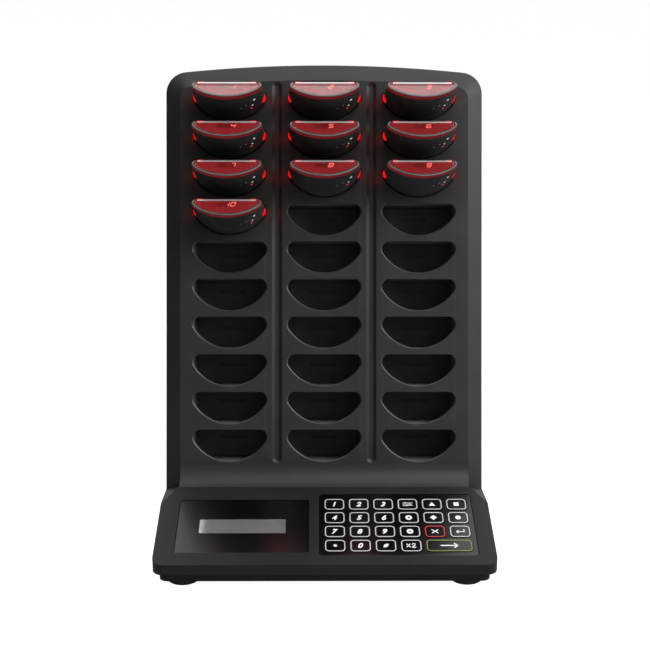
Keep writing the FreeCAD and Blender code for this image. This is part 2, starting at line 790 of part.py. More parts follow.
def make_base_posts():
    """Square screw posts on the ledge in the four corners of the base."""
    body = add_body("base_posts", "base")
    outline = add_sketch(body, "post_outline", "lip_bottom")
    left, front = "(0 - post_across - post_side/2)", "(post_inset - post_side/2)"
    draw_box(outline, left, front, f"{left} + post_side", f"{front} + post_side")
    post = pad(body, outline, "post", "post_height")
    repeat(body, [post], "posts", **POST_STEPS)
    hole_outline = add_sketch(body, "post_hole_outline", "lip_bottom + post_height")
    draw_circle(hole_outline, "0 - post_across", "post_inset", "screw_radius")
    hole = pocket(body, hole_outline, "post_hole", "post_height")
    repeat(body, [hole], "post_holes", **POST_STEPS)
    return body


def make_inlet_hole():
    """Cutter for the power inlet's hole through the rear wall of the base."""
    hole = doc.addObject("Part::Cylinder", "inlet_hole")
    hole.setExpression("Radius", bound("inlet_radius + screw_room"))
    hole.setExpression("Height", bound("base_wall*2"))
    hole.Placement = Placement(Vector(0, 0, 0), Rotation(Vector(1, 0, 0), 90))
    hole.setExpression("Placement.Base.x", bound("inlet_across"))
    hole.setExpression("Placement.Base.y", bound("body_depth/2 + base_wall/2"))
    hole.setExpression("Placement.Base.z", bound("inlet_height"))
    return hole


def make_base_housing():
    """Base moulding: deck, front lip, side walls, facets, recesses, bosses and posts."""
    space = add_body("tower_space", "panel")
    tower_block(space, "body_depth*1.2")
    solids = [make_base_shell(), make_board_bosses(), make_base_posts()]
    cutters = [space, make_deck_tools(), make_inlet_hole(), *make_facets()]
    block = gather("MultiFuse", "base_solid", solids)
    return combine("Cut", "base_housing", block, gather("MultiFuse", "base_cutters", cutters))


def make_base_plate():
    """Set-back lower cover: a shallow tray with four screw pads, sunk from below for the heads."""
    body = add_body("base_plate", "base")
    half, inset = "(body_width/2 - plate_inset)", "plate_inset"
    rear, wall = "(body_depth - plate_inset)", "plate_skin"
    outer = add_sketch(body, "plate_outline", "plate_bottom")
    draw_rounded(outer, f"0 - {half}", inset, half, rear, "plate_corner")
    pad(body, outer, "plate_block", "lip_bottom - plate_bottom")
    inner = add_sketch(body, "plate_room_outline", "lip_bottom")
    sides = (f"0 - {half} + {wall}", f"({inset} + {wall})", f"{half} - {wall}", f"({rear} - {wall})")
    draw_rounded(inner, *sides, f"(plate_corner - {wall})")
    pocket(body, inner, "plate_room", "lip_bottom - plate_bottom - plate_skin")
    pad_outline = add_sketch(body, "screw_pad_outline", "plate_bottom")
    left, front = "(0 - post_across - post_side/2)", "(post_inset - post_side/2)"
    draw_box(pad_outline, left, front, f"{left} + post_side", f"{front} + post_side")
    block = pad(body, pad_outline, "screw_pad", "lip_bottom - plate_bottom")
    repeat(body, [block], "screw_pads", **POST_STEPS)
    radii = {"sink": ("screw_head", "plate_bottom + screw_sink", "screw_sink")}
    radii["hole"] = ("screw_radius", "lip_bottom", "lip_bottom - plate_bottom")
    for name, (radius, top, depth) in radii.items():
        circle = add_sketch(body, f"screw_{name}_outline", top)
        draw_circle(circle, "0 - post_across", "post_inset", f"({radius} + screw_room)")
        cut = pocket(body, circle, f"screw_{name}", depth)
        repeat(body, [cut], f"screw_{name}s", **POST_STEPS)
    return body


def make_rubber_feet():
    """Four round rubber feet with a bevelled lower edge."""
    body = add_body("rubber_feet", "base")
    centre = ("0 - foot_pad_across", "foot_pad_front")
    lower = add_sketch(body, "foot_lower")
    draw_circle(lower, *centre, "(foot_pad_radius - foot_edge)")
    upper = add_sketch(body, "foot_upper", "foot_edge")
    draw_circle(upper, *centre, "foot_pad_radius")
    bevel = loft(body, "Additive", "foot_bevel", lower, upper)
    disc = add_sketch(body, "foot_disc", "foot_edge")
    draw_circle(disc, *centre, "foot_pad_radius")
    height = pad(body, disc, "foot_height", "plate_bottom - foot_edge")
    back = "(body_depth - foot_pad_front - foot_pad_rear)"
    repeat(body, [bevel, height], "feet", across=("2", "2*foot_pad_across"), up=("2", back))
    return body


def make_case_screws():
    """Four screws that hold the base plate to the posts."""
    body = add_body("case_screws", "base")
    top = "plate_bottom + screw_sink"
    head = add_sketch(body, "head_outline", f"{top} - screw_head_height")
    draw_circle(head, "0 - post_across", "post_inset", "screw_head")
    heads = pad(body, head, "screw_head_block", "screw_head_height")
    shank = add_sketch(body, "shank_outline", top)
    draw_circle(shank, "0 - post_across", "post_inset", "screw_radius")
    shanks = pad(body, shank, "screw_shank", "screw_length")
    repeat(body, [heads, shanks], "screws", **POST_STEPS)
    return body


# ---------------------------------------------------------------- the deck's fittings


def make_display_window():
    """Glossy lens that lies in its recess on the left of the deck."""
    body = add_body("display_window", "deck")
    outline = add_sketch(body, "window_outline", f"0 - {GLASS_FLOOR}")
    draw_rounded(outline, "window_left", "window_bottom", "window_right", "window_top", "window_corner")
    pad(body, outline, "window_plate", "glass_thick")
    return body


def make_lcd_module():
    """Character display: board, metal frame and the sunk viewing area."""
    body = add_body("lcd_module", "deck", "display_across", "display_up")
    front = f"({GLASS_FLOOR} + flange_gap)"
    slabs = {
        "display_board": (f"{front} + display_thick + board_skin", "board_skin"),
        "display_frame": (f"{front} + display_thick", "display_thick"),
        "display_view": (front, "display_view_depth"),
    }
    for name, (depth, thickness) in slabs.items():
        outline = add_sketch(body, f"{name}_outline", f"0 - ({depth})")
        half, rise = f"{name}_width/2", f"{name}_height/2"
        draw_box(outline, f"0 - {half}", f"0 - {rise}", half, rise)
        (pocket if name == "display_view" else pad)(body, outline, name, thickness)
    return body


# The keypad's rows from the front; every key is named after what it does.
KEY_ROWS = (
    ("star", "0", "hash", "double"),
    ("7", "8", "9", "ring_b", "cancel", "enter"),
    ("4", "5", "6", "ring_a", "f3", "f4"),
    ("1", "2", "3", "setup", "f1", "f2"),
)
WIDE_KEY = ("send", "(key_across + 4.5*key_step)", "key_up")
KEY_TOP = f"({GLASS_FLOOR} + flange_gap)"
STEM_END = f"({KEY_TOP} + flange_thick + stem_length)"


def key_places():
    """Name and centre, as formulas, of every key of ordinary width."""
    for row, names in enumerate(KEY_ROWS):
        for column, name in enumerate(names):
            yield name, f"(key_across + {column}*key_step)", f"(key_up + {row}*key_rise)"


def draw_key(sketch, across, up, grow, wide=False):
    """Draw a key's outline, grown by a formula, about its centre."""
    stretch = "key_step/2" if wide else "0"
    half, rise = f"(key_width/2 + {stretch} + {grow})", f"(key_height/2 + {grow})"
    sides = (f"({across} - {half})", f"({up} - {rise})", f"({across} + {half})", f"({up} + {rise})")
    draw_rounded(sketch, *sides, f"(key_corner + {grow})")


def under_keys(body, name, offset, length, shape, outline):
    """Pad or cut an outline at every key: the front row's, the wide key's and the full rows'."""
    front, full = KEY_ROWS[0], KEY_ROWS[1:]
    blocks = {
        "front": ("key_across", "key_up", (len(front), 1), False),
        "wide": (*WIDE_KEY[1:], (1, 1), True),
        "full": ("key_across", "(key_up + key_rise)", (len(full[0]), len(full)), False),
    }
    for block, (across, up, (columns, rows), wide) in blocks.items():
        sketch = add_sketch(body, f"{name}_{block}_outline", offset)
        outline(sketch, across, up, wide)
        feature = shape(body, sketch, f"{name}_{block}", length)
        if columns > 1:
            up_steps = (f"{rows}", "key_rise") if rows > 1 else None
            repeat(body, [feature], f"{name}_{block}s", (f"{columns}", "key_step"), up_steps)


def make_keypad_bezel():
    """Glossy keypad panel with a hole for every key."""
    body = add_body("keypad_bezel", "deck")
    outline = add_sketch(body, "bezel_outline", f"0 - {GLASS_FLOOR}")
    draw_rounded(outline, "bezel_left", "bezel_bottom", "bezel_right", "bezel_top", "bezel_corner")
    pad(body, outline, "bezel_plate", "glass_thick")

    def hole(sketch, across, up, wide):
        draw_key(sketch, across, up, "key_gap", wide)

    under_keys(body, "key_hole", "0 - glass_sink", "glass_thick", pocket, hole)
    return body


def key_form(label, wide=False):
    """A key about its own centre: bevelled cap, holding flange and the stem under it."""
    form = add_body(label)
    flange = add_sketch(form, f"{label}_flange_outline", f"0 - {KEY_TOP} - flange_thick")
    draw_key(flange, "0", "0", "flange_margin", wide)
    pad(form, flange, f"{label}_flange", "flange_thick")
    cap = add_sketch(form, f"{label}_cap_outline", f"0 - {KEY_TOP}")
    draw_key(cap, "0", "0", "0", wide)
    pad(form, cap, f"{label}_cap", f"{KEY_TOP} - glass_sink + key_proud - key_edge")
    lower = add_sketch(form, f"{label}_edge_lower", "key_proud - glass_sink - key_edge")
    draw_key(lower, "0", "0", "0", wide)
    upper = add_sketch(form, f"{label}_edge_upper", "key_proud - glass_sink")
    draw_key(upper, "0", "0", "(0 - key_edge)", wide)
    loft(form, "Additive", f"{label}_edge", lower, upper)
    stem = add_sketch(form, f"{label}_stem_outline", f"0 - {STEM_END}")
    draw_circle(stem, "0", "0", "stem_radius")
    pad(form, stem, f"{label}_stem", "stem_length")
    return form


def make_keys():
    """Twenty-three separate key caps, one of them of double width."""
    plain, wide = key_form("key_form"), key_form("wide_key_form", wide=True)
    doc.recompute()
    keys = [copy_of(plain, f"key_{name}", "deck", across, up) for name, across, up in key_places()]
    name, across, up = WIDE_KEY
    return [*keys, copy_of(wide, f"key_{name}", "deck", across, up)]


def make_main_board():
    """Board under the keypad, held by the bosses of the deck."""
    body = add_body("main_board", "deck")
    plate = add_sketch(body, "main_board_outline", "0 - board_depth - board_skin")
    draw_box(plate, "board_left", "board_bottom", "board_right", "board_top")
    pad(body, plate, "main_plate", "board_skin")
    return body


def make_key_switches():
    """Twenty-three push switches: square bodies with a round plunger under each key's stem."""
    body = add_body("key_switches", "deck")
    half = "switch_side/2"

    def case(sketch, across, up, _wide):
        sides = (f"{across} - {half}", f"{up} - {half}", f"{across} + {half}", f"{up} + {half}")
        draw_box(sketch, *sides)

    def plunger(sketch, across, up, _wide):
        draw_circle(sketch, across, up, "plunger_radius")

    under_keys(body, "switch", "0 - board_depth", "switch_height", pad, case)
    rise = f"board_depth - switch_height - ({STEM_END} + key_travel + switch_rest)"
    under_keys(body, "plunger", "0 - board_depth + switch_height", rise, pad, plunger)
    return body


# ---------------------------------------------------------------- inside and behind the base


def make_radio_module():
    """Transmitter on four stand-offs: board, shield can and an upright sleeved aerial."""
    body = add_body("radio_module", "base", "radio_across", "radio_back")
    floor = "(plate_bottom + plate_skin)"
    half, rise, inset = "radio_width/2", "radio_depth/2", "can_inset"
    legs = add_sketch(body, "standoff_outline", floor)
    draw_circle(legs, f"0 - {half} + {inset}", f"0 - {rise} + {inset}", "aerial_radius")
    leg = pad(body, legs, "standoff", "standoff_height")
    columns, rows = f"(radio_width - 2*{inset})", f"(radio_depth - 2*{inset})"
    repeat(body, [leg], "standoffs", across=("2", columns), up=("2", rows))
    board = add_sketch(body, "radio_board_outline", f"{floor} + standoff_height")
    draw_box(board, f"0 - {half}", f"0 - {rise}", half, rise)
    pad(body, board, "radio_board", "board_skin")
    top = f"{floor} + standoff_height + board_skin"
    can = add_sketch(body, "can_outline", top)
    sides = (f"{inset} - {half}", f"{inset} - {rise}", f"{half} - 3*{inset}", f"{rise} - {inset}")
    draw_box(can, *sides)
    pad(body, can, "shield_can", "can_height")
    aerial = add_sketch(body, "aerial_outline", top)
    draw_circle(aerial, f"{half} - 1.5*{inset}", "0", "aerial_radius")
    pad(body, aerial, "aerial", "aerial_height")
    return body


def make_dc_jack():
    """Power inlet about its own axis: barrel with an inner flange, a bore and a centre pin."""
    body = add_body("dc_jack", "base", "inlet_across", "body_depth", "inlet_height")
    axis = next(item for item in body.Origin.OriginFeatures if item.Role == "Y_Axis")
    profile = add_sketch(body, "inlet_profile", plane="YZ_Plane")
    corners = [
        ("0 - inlet_length", "0"),
        ("0", "0"),
        ("0", "inlet_radius"),
        ("0 - base_wall", "inlet_radius"),
        ("0 - base_wall", "inlet_flange"),
        ("0 - base_wall - inlet_flange_skin", "inlet_flange"),
        ("0 - base_wall - inlet_flange_skin", "inlet_radius"),
        ("0 - inlet_length", "inlet_radius"),
    ]
    draw(profile, corners)
    barrel = body.newObject("PartDesign::Revolution", "inlet_barrel")
    barrel.Profile = profile
    barrel.ReferenceAxis = (axis, [""])
    bore = add_sketch(body, "inlet_bore_profile", plane="YZ_Plane")
    draw_box(bore, "0 - inlet_bore_depth", "inlet_pin", "1", "inlet_bore")
    groove = body.newObject("PartDesign::Groove", "inlet_bore_ring")
    groove.Profile = bore
    groove.ReferenceAxis = (axis, [""])
    return body


# ---------------------------------------------------------------- the pagers

PAGER_TOP = "(0 - pager_gap)"
PAGER_SECTION = ("(slot_width - 2*pager_gap)", "(slot_height - 2*pager_gap)", "(slot_corner - pager_gap)")
LENS_SHIFT = "(lens_thick*sqrt(nose_height^2 + (nose_reach - pager_reach)^2)/nose_height)"


def face_line(up, shift="0"):
    """Reach of the pager's slanting face, moved inwards by a shift, at a height."""
    return f"(pager_reach - {shift} + ({PAGER_TOP} - ({up}))*(nose_reach - pager_reach)/nose_height)"


def pager_block(label):
    """A pager about the middle of its slot's top edge: straight shank and tapering nose."""
    body = add_body(label)
    inner = add_sketch(body, f"{label}_inner", "0 - pager_inside")
    draw_half_moon(inner, *PAGER_SECTION, "0", PAGER_TOP)
    pad(body, inner, f"{label}_shank", "pager_inside")
    middle = add_sketch(body, f"{label}_middle")
    draw_half_moon(middle, *PAGER_SECTION, "0", PAGER_TOP)
    nose = add_sketch(body, f"{label}_nose", "nose_reach")
    draw_half_moon(nose, "nose_width", "nose_height", "nose_corner", "0", PAGER_TOP)
    loft(body, "Additive", f"{label}_taper", middle, nose)
    return body


def cut_slant(body, name, shift, end):
    """Cut a pager along a plane parallel to its face, away from the plane as far as end."""
    above, below = "slot_height", "(0 - 2*slot_height)"
    side = add_sketch(body, f"{name}_profile", "slot_width", "YZ_Plane")
    corners = [(below, end), (above, end), (above, face_line(above, shift)), (below, face_line(below, shift))]
    draw(side, corners)
    pocket(body, side, name, "2*slot_width")


def pager_lights():
    """Two light strips that wrap a pager's flanks just in front of the panel."""
    body = add_body("pager_lights")
    end, skin = "light_start + light_length", "light_skin"
    ring = add_sketch(body, "light_outline", "light_start")
    draw_half_moon(ring, *PAGER_SECTION, "0", PAGER_TOP)
    pad(body, ring, "light_block", "light_length")
    core = add_sketch(body, "light_core", end)
    width, height, corner = PAGER_SECTION
    thinner = (f"({width} - 2*{skin})", f"({height} - 2*{skin})", f"({corner} - {skin})")
    draw_half_moon(core, *thinner, "0", f"({PAGER_TOP} - {skin})")
    pocket(body, core, "light_room", "light_length")
    middle = add_sketch(body, "light_middle", end)
    draw_box(middle, "0 - light_inner", "0 - slot_height", "light_inner", "slot_height")
    pocket(body, middle, "light_split", "light_length")
    return body


def make_pagers():
    """Ten pagers, each a case and a clear window with the light strips of its flanks."""
    case, lens, lights = pager_block("pager_body"), pager_block("pager_lens"), pager_lights()
    beyond = "2*nose_reach"
    cut_slant(case, "case_face", LENS_SHIFT, beyond)
    cut_slant(lens, "lens_face", "0", beyond)
    cut_slant(lens, "lens_back", LENS_SHIFT, "0 - 2*nose_reach")
    forms = {
        "case": combine("Cut", "pager_case_form", case, lights),
        "window": gather("Compound", "pager_window_form", [lens, lights]),
    }
    doc.recompute()
    columns = round(size("slot_columns"))
    pieces = []
    for number in range(round(size("pager_count"))):
        row, column = divmod(number, columns)
        across = f"({column} - (slot_columns - 1)/2)*column_pitch"
        up = f"top_slot - {row}*slot_pitch"
        for name, form in forms.items():
            label = f"pager_{number + 1:02d}_{name}"
            pieces.append(copy_of(form, label, "panel", across, up))
    return pieces


def export(pieces):
    """Check every object and write each piece to its own file."""
    doc.recompute()
    broken = [item.Label for item in doc.Objects if {"Invalid", "Error"} & set(item.State)]
    if broken:
        raise RuntimeError(f"not recomputed: {broken}")
    for piece in pieces:
        if piece.Shape.isNull() or not piece.Shape.isValid() or not piece.Shape.Solids:
            raise RuntimeError(f"{piece.Label} has no valid solid")
    os.makedirs("parts", exist_ok=True)
    for piece in pieces:
        piece.Shape.exportStep(os.path.join("parts", f"{piece.Label}.step"))


def main():
    """Build every piece of the pager system and write the files."""
    pieces = [
        make_tower_front(),
        *make_pocket_racks(),
        make_charge_board(),
        make_rear_cover(),
        make_base_housing(),
        make_base_plate(),
        make_rubber_feet(),
        make_case_screws(),
        make_display_window(),
        make_lcd_module(),
        make_keypad_bezel(),
        make_main_board(),
        make_key_switches(),
        make_radio_module(),
        make_dc_jack(),
        *make_keys(),
        *make_pagers(),
    ]
    export(pieces)


main()
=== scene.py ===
"""Visual model of a guest pager system: a desk transmitter with a leaning tower of pager slots.

Pieces are laid out in millimetres on one of three surfaces, the table, the sloping deck or the slot
panel, and are placed in the frame of the CAD model, in metres.
"""

import logging
import math
from collections.abc import Callable, Iterable, Sequence
from dataclasses import dataclass, field
from enum import Enum
from functools import partial

import bmesh
import bpy
from mathutils import Matrix, Vector
from mathutils.geometry import delaunay_2d_cdt


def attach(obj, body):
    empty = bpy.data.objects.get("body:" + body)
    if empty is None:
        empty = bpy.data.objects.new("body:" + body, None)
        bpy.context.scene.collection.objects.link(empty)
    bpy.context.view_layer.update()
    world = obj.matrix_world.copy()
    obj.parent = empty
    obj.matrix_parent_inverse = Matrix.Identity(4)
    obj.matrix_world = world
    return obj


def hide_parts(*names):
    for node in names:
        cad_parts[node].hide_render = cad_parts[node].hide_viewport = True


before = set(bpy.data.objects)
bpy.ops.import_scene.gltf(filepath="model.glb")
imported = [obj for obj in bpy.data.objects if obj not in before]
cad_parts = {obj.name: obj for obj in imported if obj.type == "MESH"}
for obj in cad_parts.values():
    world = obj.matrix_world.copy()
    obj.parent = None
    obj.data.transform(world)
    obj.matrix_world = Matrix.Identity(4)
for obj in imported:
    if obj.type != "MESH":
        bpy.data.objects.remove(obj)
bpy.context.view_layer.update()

LOG = logging.getLogger("pager_system")
MM = 0.001

Point = tuple[float, float]
Place = tuple[float, float, float]
Colour = tuple[float, float, float]
Corners = tuple[float, float, float, float]
Outline = list[Vector]
Inset = Callable[[float], Outline]
Ring = list[int]
Socket = bpy.types.NodeSocket


# ---------------------------------------------------------------- places and outlines


class Seat(Enum):
    """The surfaces that pieces are laid out on: their origin's depth and height, and their turn."""

    TABLE = (-122.0, 0.0, 0.0)
    DECK = (-122.0, 20.0, 15.0)
    PANEL = (-29.1745, 44.8725, 72.0)

    def place(self, across: float = 0.0, up: float = 0.0) -> Matrix:
        """Matrix from metres about a point of this surface to the frame of the CAD model.

        Args:
            across: The point's distance to the right of the middle, in millimetres.
            up: Its distance up the surface.

        Returns:
            The rigid transform.
        """
        depth, height, turn = self.value
        return (
            Matrix.Translation((0.0, depth * MM, height * MM))
            @ Matrix.Rotation(math.radians(turn), 4, "X")
            @ Matrix.Translation((across * MM, up * MM, 0.0))
        )


def arc(centre: Sequence[float], radius: float, start: float, end: float, steps: int) -> Outline:
    """Points on an arc, both ends included; the angles are in radians."""
    turns = [start + (end - start) * step / steps for step in range(steps + 1)]
    return [
        Vector((centre[0] + radius * math.cos(turn), centre[1] + radius * math.sin(turn)))
        for turn in turns
    ]


def circle(centre: Sequence[float], radius: float, points: int) -> Outline:
    """Evenly spaced points on a circle."""
    return arc(centre, radius, 0.0, math.tau * (points - 1) / points, points - 1)


@dataclass(frozen=True)
class RoundBox:
    """A rectangle with round corners about its own centre."""

    width: float
    height: float
    corner: float
    steps: int = 6

    def outline(self, inset: float = 0.0, across: float = 0.0, up: float = 0.0) -> Outline:
        """Counter-clockwise points, moved inwards by inset and placed at a centre."""
        reach = (self.width / 2 - self.corner, self.height / 2 - self.corner)
        points: Outline = []
        for quarter, (side, rise) in enumerate(((1, 1), (-1, 1), (-1, -1), (1, -1))):
            centre = (across + side * reach[0], up + rise * reach[1])
            start = quarter * math.pi / 2
            points += arc(centre, self.corner - inset, start, start + math.pi / 2, self.steps)
        return points


@dataclass(frozen=True)
class HalfMoon:
    """A D lying on its back: flat top, round upper corners and one large arc below."""

    width: float = 57.5
    height: float = 24.5
    corner: float = 6.0
    corner_steps: int = 10
    bow_steps: int = 30

    def outline(self, inset: float = 0.0, across: float = 0.0, top: float = 0.0) -> Outline:
        """Counter-clockwise points from the flat top's left end, moved inwards by inset."""
        corner, height = self.corner - inset, self.height - 2 * inset
        span = self.width / 2 - self.corner
        bow = (span**2 / (self.height - 2 * self.corner) + height) / 2
        top -= inset
        low, steps = math.atan2(height - bow - corner, span), self.corner_steps
        start, end = math.pi - low, math.tau + low
        left = arc((across - span, top - corner), corner, math.pi / 2, start, steps)
        base = arc((across, top - height + bow), bow, start, end, self.bow_steps)
        right = arc((across + span, top - corner), corner, low, math.pi / 2, steps)
        return left + base[1:] + right[1:]


@dataclass(frozen=True)
class Stadium:
    """An upright slot with half-round ends."""

    across: float
    bottom: float
    top: float
    width: float
    steps: int = 10

    def outline(self, inset: float = 0.0) -> Outline:
        """Counter-clockwise points, moved inwards by inset."""
        radius = self.width / 2
        points: Outline = []
        for level, start in ((self.top - radius, 0.0), (self.bottom + radius, math.pi)):
            centre = (self.across, level)
            points += arc(centre, radius - inset, start, start + math.pi, self.steps)
        return points


@dataclass(frozen=True)
class Arch:
    """The tower's outline: upright sides, round shoulders and a gently arched crown."""

    half: float
    crown: float
    shoulder: float
    radius: float = 1090.0
    shoulder_steps: int = 12
    crown_steps: int = 36

    def outline(self, bottom: float, levels: Sequence[float] = ()) -> Outline:
        """Counter-clockwise points from the lower right corner, with extra points at levels."""
        centre = self.crown - self.radius
        reach = self.half - self.shoulder
        rise = math.sqrt((self.radius - self.shoulder) ** 2 - reach**2)
        turn = math.atan2(rise, reach)
        steps = self.shoulder_steps
        right = [Vector((self.half, level)) for level in (bottom, *levels)]
        first = arc((reach, centre + rise), self.shoulder, 0.0, turn, steps)
        crown = arc((0.0, centre), self.radius, turn, math.pi - turn, self.crown_steps)
        last = arc((-reach, centre + rise), self.shoulder, math.pi - turn, math.pi, steps)
        left = [Vector((-point.x, point.y)) for point in reversed(right)]
        return right + first + crown[1:-1] + last + left


# ---------------------------------------------------------------- meshes


class Skin:
    """A mesh in the making: points in millimetres on one surface, and faces with finishes."""

    SHARP_ABOVE = math.radians(38.0)
    MERGE_DISTANCE = 1e-7
    FILL_TOLERANCE = 1e-6
    FILL_WITHOUT_HOLES = 2

    def __init__(self) -> None:
        """Start without points and faces."""
        self.points: list[Vector] = []
        self.faces: list[tuple[int, ...]] = []
        self.finishes: list[int] = []

    def trace(self, points: Iterable[Sequence[float]]) -> Ring:
        """Add points and return their numbers."""
        start = len(self.points)
        self.points += [Vector(point) for point in points]
        return list(range(start, len(self.points)))

    def ring(self, outline: Iterable[Vector], out: float) -> Ring:
        """Add an outline at a distance out of the surface and return its points' numbers."""
        return self.trace((point[0], point[1], out) for point in outline)

    def face(self, points: Iterable[int], finish: int = 0) -> None:
        """Add one face."""
        self.faces.append(tuple(points))
        self.finishes.append(finish)

    def bridge(self, first: Ring, second: Ring, finish: int = 0, closed: bool = True) -> Ring:
        """Join two rings of equal length with quads and return the second."""
        count = len(first)
        for index in range(count if closed else count - 1):
            after = (index + 1) % count
            self.face((first[index], first[after], second[after], second[index]), finish)
        return second

    def loft(
        self, rings: Sequence[Ring], finishes: Sequence[int] = (), closed: bool = True
    ) -> None:
        """Join rings in their order; the finishes are given strip by strip."""
        for step, (first, second) in enumerate(zip(rings, rings[1:])):
            self.bridge(first, second, finishes[step] if finishes else 0, closed)

    def lids(self, rings: Sequence[Ring], finish: int = 0) -> None:
        """Close the first and the last ring with one face each."""
        self.face(rings[0], finish)
        self.face(rings[-1], finish)

    def fill(self, rings: Sequence[Ring]) -> None:
        """Close the flat face that the first ring bounds, with the other rings as holes."""
        order = [index for ring in rings for index in ring]
        flat = [self.points[index].to_2d() for index in order]
        bounds: list[Ring] = []
        for ring in rings:
            start = bounds[-1][-1] + 1 if bounds else 0
            bounds.append(list(range(start, start + len(ring))))
        result = delaunay_2d_cdt(flat, [], bounds, self.FILL_WITHOUT_HOLES, self.FILL_TOLERANCE)
        for face in result[2]:
            self.face(order[result[3][corner][0]] for corner in face)

    def caps(self, *rings: Ring) -> None:
        """Close the flat face inside each ring."""
        for ring in rings:
            self.fill([ring])

    def soft_edge(
        self,
        inset: Inset,
        radius: float,
        level: float,
        hole: bool = False,
        below: bool = False,
        steps: int = 4,
    ) -> tuple[Ring, Ring]:
        """Add a quarter-round edge between a flat face and the wall that leaves it.

        Args:
            inset: Gives the wall's outline moved inwards by a distance.
            radius: The edge's radius.
            level: Height of the flat face.
            hole: The outline is a hole, so the edge opens outwards.
            below: The flat face looks down, so the wall rises from it.
            steps: Number of strips.

        Returns:
            The ring on the flat face and the ring on the wall.
        """
        rings = []
        for step in range(steps + 1):
            turn = math.pi / 2 * step / steps
            back = radius * (1 - math.sin(turn)) * (-1 if hole else 1)
            drop = radius * (1 - math.cos(turn)) * (-1 if below else 1)
            rings.append(self.ring(inset(back), level - drop))
        self.loft(rings)
        return rings[0], rings[-1]

    def plate(self, shape: Inset, top: float, bottom: float, radius: float) -> None:
        """Add a closed slab whose upper and lower edges are softened."""
        upper, wall = self.soft_edge(shape, radius, top)
        lower, foot = self.soft_edge(shape, radius, bottom, below=True)
        self.bridge(wall, foot)
        self.caps(upper, lower)

    def mesh(self, name: str) -> bpy.types.Mesh:
        """Make the mesh in metres, with outward normals and smooth faces between sharp edges."""
        mesh = bpy.data.meshes.new(name)
        mesh.from_pydata([point * MM for point in self.points], [], self.faces)
        mesh.polygons.foreach_set("material_index", self.finishes)
        build = bmesh.new()
        build.from_mesh(mesh)
        bmesh.ops.remove_doubles(build, verts=build.verts, dist=self.MERGE_DISTANCE)
        bmesh.ops.recalc_face_normals(build, faces=build.faces)
        build.to_mesh(mesh)
        build.free()
        mesh.shade_smooth()
        mesh.set_sharp_from_angle(angle=self.SHARP_ABOVE)
        mesh.validate()
        return mesh


# ---------------------------------------------------------------- materials


class NodeSheet:
    """Adds nodes to a tree and links them."""

    def __init__(self, tree: bpy.types.NodeTree) -> None:
        """Work on a tree."""
        self.tree = tree

    @classmethod
    def blank(cls, owner: bpy.types.Material | bpy.types.World) -> "NodeSheet":
        """A sheet for the emptied node tree of a material or world."""
        owner.use_nodes = True
        owner.node_tree.nodes.clear()
        return cls(owner.node_tree)

    def add(self, kind: str, inputs: dict | None = None, **settings: object) -> bpy.types.Node:
        """Add a node.

        Args:
            kind: The node's type name without its leading ShaderNode.
            inputs: Values or output sockets for the node's inputs, by name or number.
            settings: Properties of the node itself.

        Returns:
            The new node.
        """
        node = self.tree.nodes.new(f"ShaderNode{kind}")
        for key, value in settings.items():
            setattr(node, key, value)
        for key, value in (inputs or {}).items():
            if isinstance(value, Socket):
                self.tree.links.new(value, node.inputs[key])
            else:
                node.inputs[key].default_value = value
        return node

    def where(self) -> Socket:
        """The shaded point in the piece's own coordinates."""
        return self.add("TexCoord").outputs["Object"]

    def noise(self, where: Socket, scale: object, detail: float, **more: float) -> Socket:
        """Cloudy noise around one half."""
        inputs = {"Vector": where, "Scale": scale, "Detail": detail} | more
        return self.add("TexNoise", inputs).outputs["Fac"]

    def maths(self, operation: str, *values: object) -> Socket:
        """Add a Math node and return its output."""
        return self.add("Math", dict(enumerate(values)), operation=operation).outputs[0]

    def mix(self, share: object, first: object, second: object, blend: str = "MIX") -> Socket:
        """Mix two colours and return the result."""
        inputs = {0: share, 6: first, 7: second}
        return self.add("Mix", inputs, data_type="RGBA", blend_type=blend).outputs[2]

    def scaled(self, colour: Socket, factor: float) -> Socket:
        """A colour made darker or paler."""
        return self.mix(1.0, colour, (factor, factor, factor, 1.0), "MULTIPLY")

    def ramp(self, value: object, low: float, high: float) -> Socket:
        """Map a value between two limits to 0 to 1, smoothly."""
        inputs = {"Value": value, "From Min": low, "From Max": high}
        return self.add("MapRange", inputs, interpolation_type="SMOOTHSTEP").outputs[0]

    def bump(self, height: Socket, distance: float, strength: float) -> Socket:
        """The normal of a relief."""
        inputs = {"Height": height, "Distance": distance, "Strength": strength}
        return self.add("Bump", inputs).outputs[0]

    def principled(self, **inputs: object) -> Socket:
        """The plain surface shader; an underscore in a name stands for a space."""
        named = {key.replace("_", " "): value for key, value in inputs.items()}
        return self.add("BsdfPrincipled", named).outputs[0]

    def seen(self, *more: str) -> dict[str, Socket]:
        """The kinds of ray: PLAIN where the camera sees a surface, also through glass."""
        path = self.add("LightPath").outputs
        plain = self.maths("MAXIMUM", path["Is Camera Ray"], path["Is Transmission Ray"])
        return {"PLAIN": plain} | {kind: path[f"Is {kind} Ray"] for kind in more}


def open_group(
    name: str, inputs: dict[str, object], outputs: dict[str, str]
) -> tuple[NodeSheet, bpy.types.NodeOutputs]:
    """Start a shader node group.

    Args:
        name: The group's name.
        inputs: Default value of each input; a tuple is a colour and a number a value.
        outputs: Type name of each output without its leading NodeSocket.

    Returns:
        The group's sheet and the sockets that bring its inputs.
    """
    tree = bpy.data.node_groups.new(name, "ShaderNodeTree")
    for socket, value in inputs.items():
        kind = "NodeSocketColor" if isinstance(value, tuple) else "NodeSocketFloat"
        made = tree.interface.new_socket(socket, in_out="INPUT", socket_type=kind)
        made.default_value = value
    for socket, kind in outputs.items():
        tree.interface.new_socket(socket, in_out="OUTPUT", socket_type=f"NodeSocket{kind}")
    return NodeSheet(tree), tree.nodes.new("NodeGroupInput").outputs


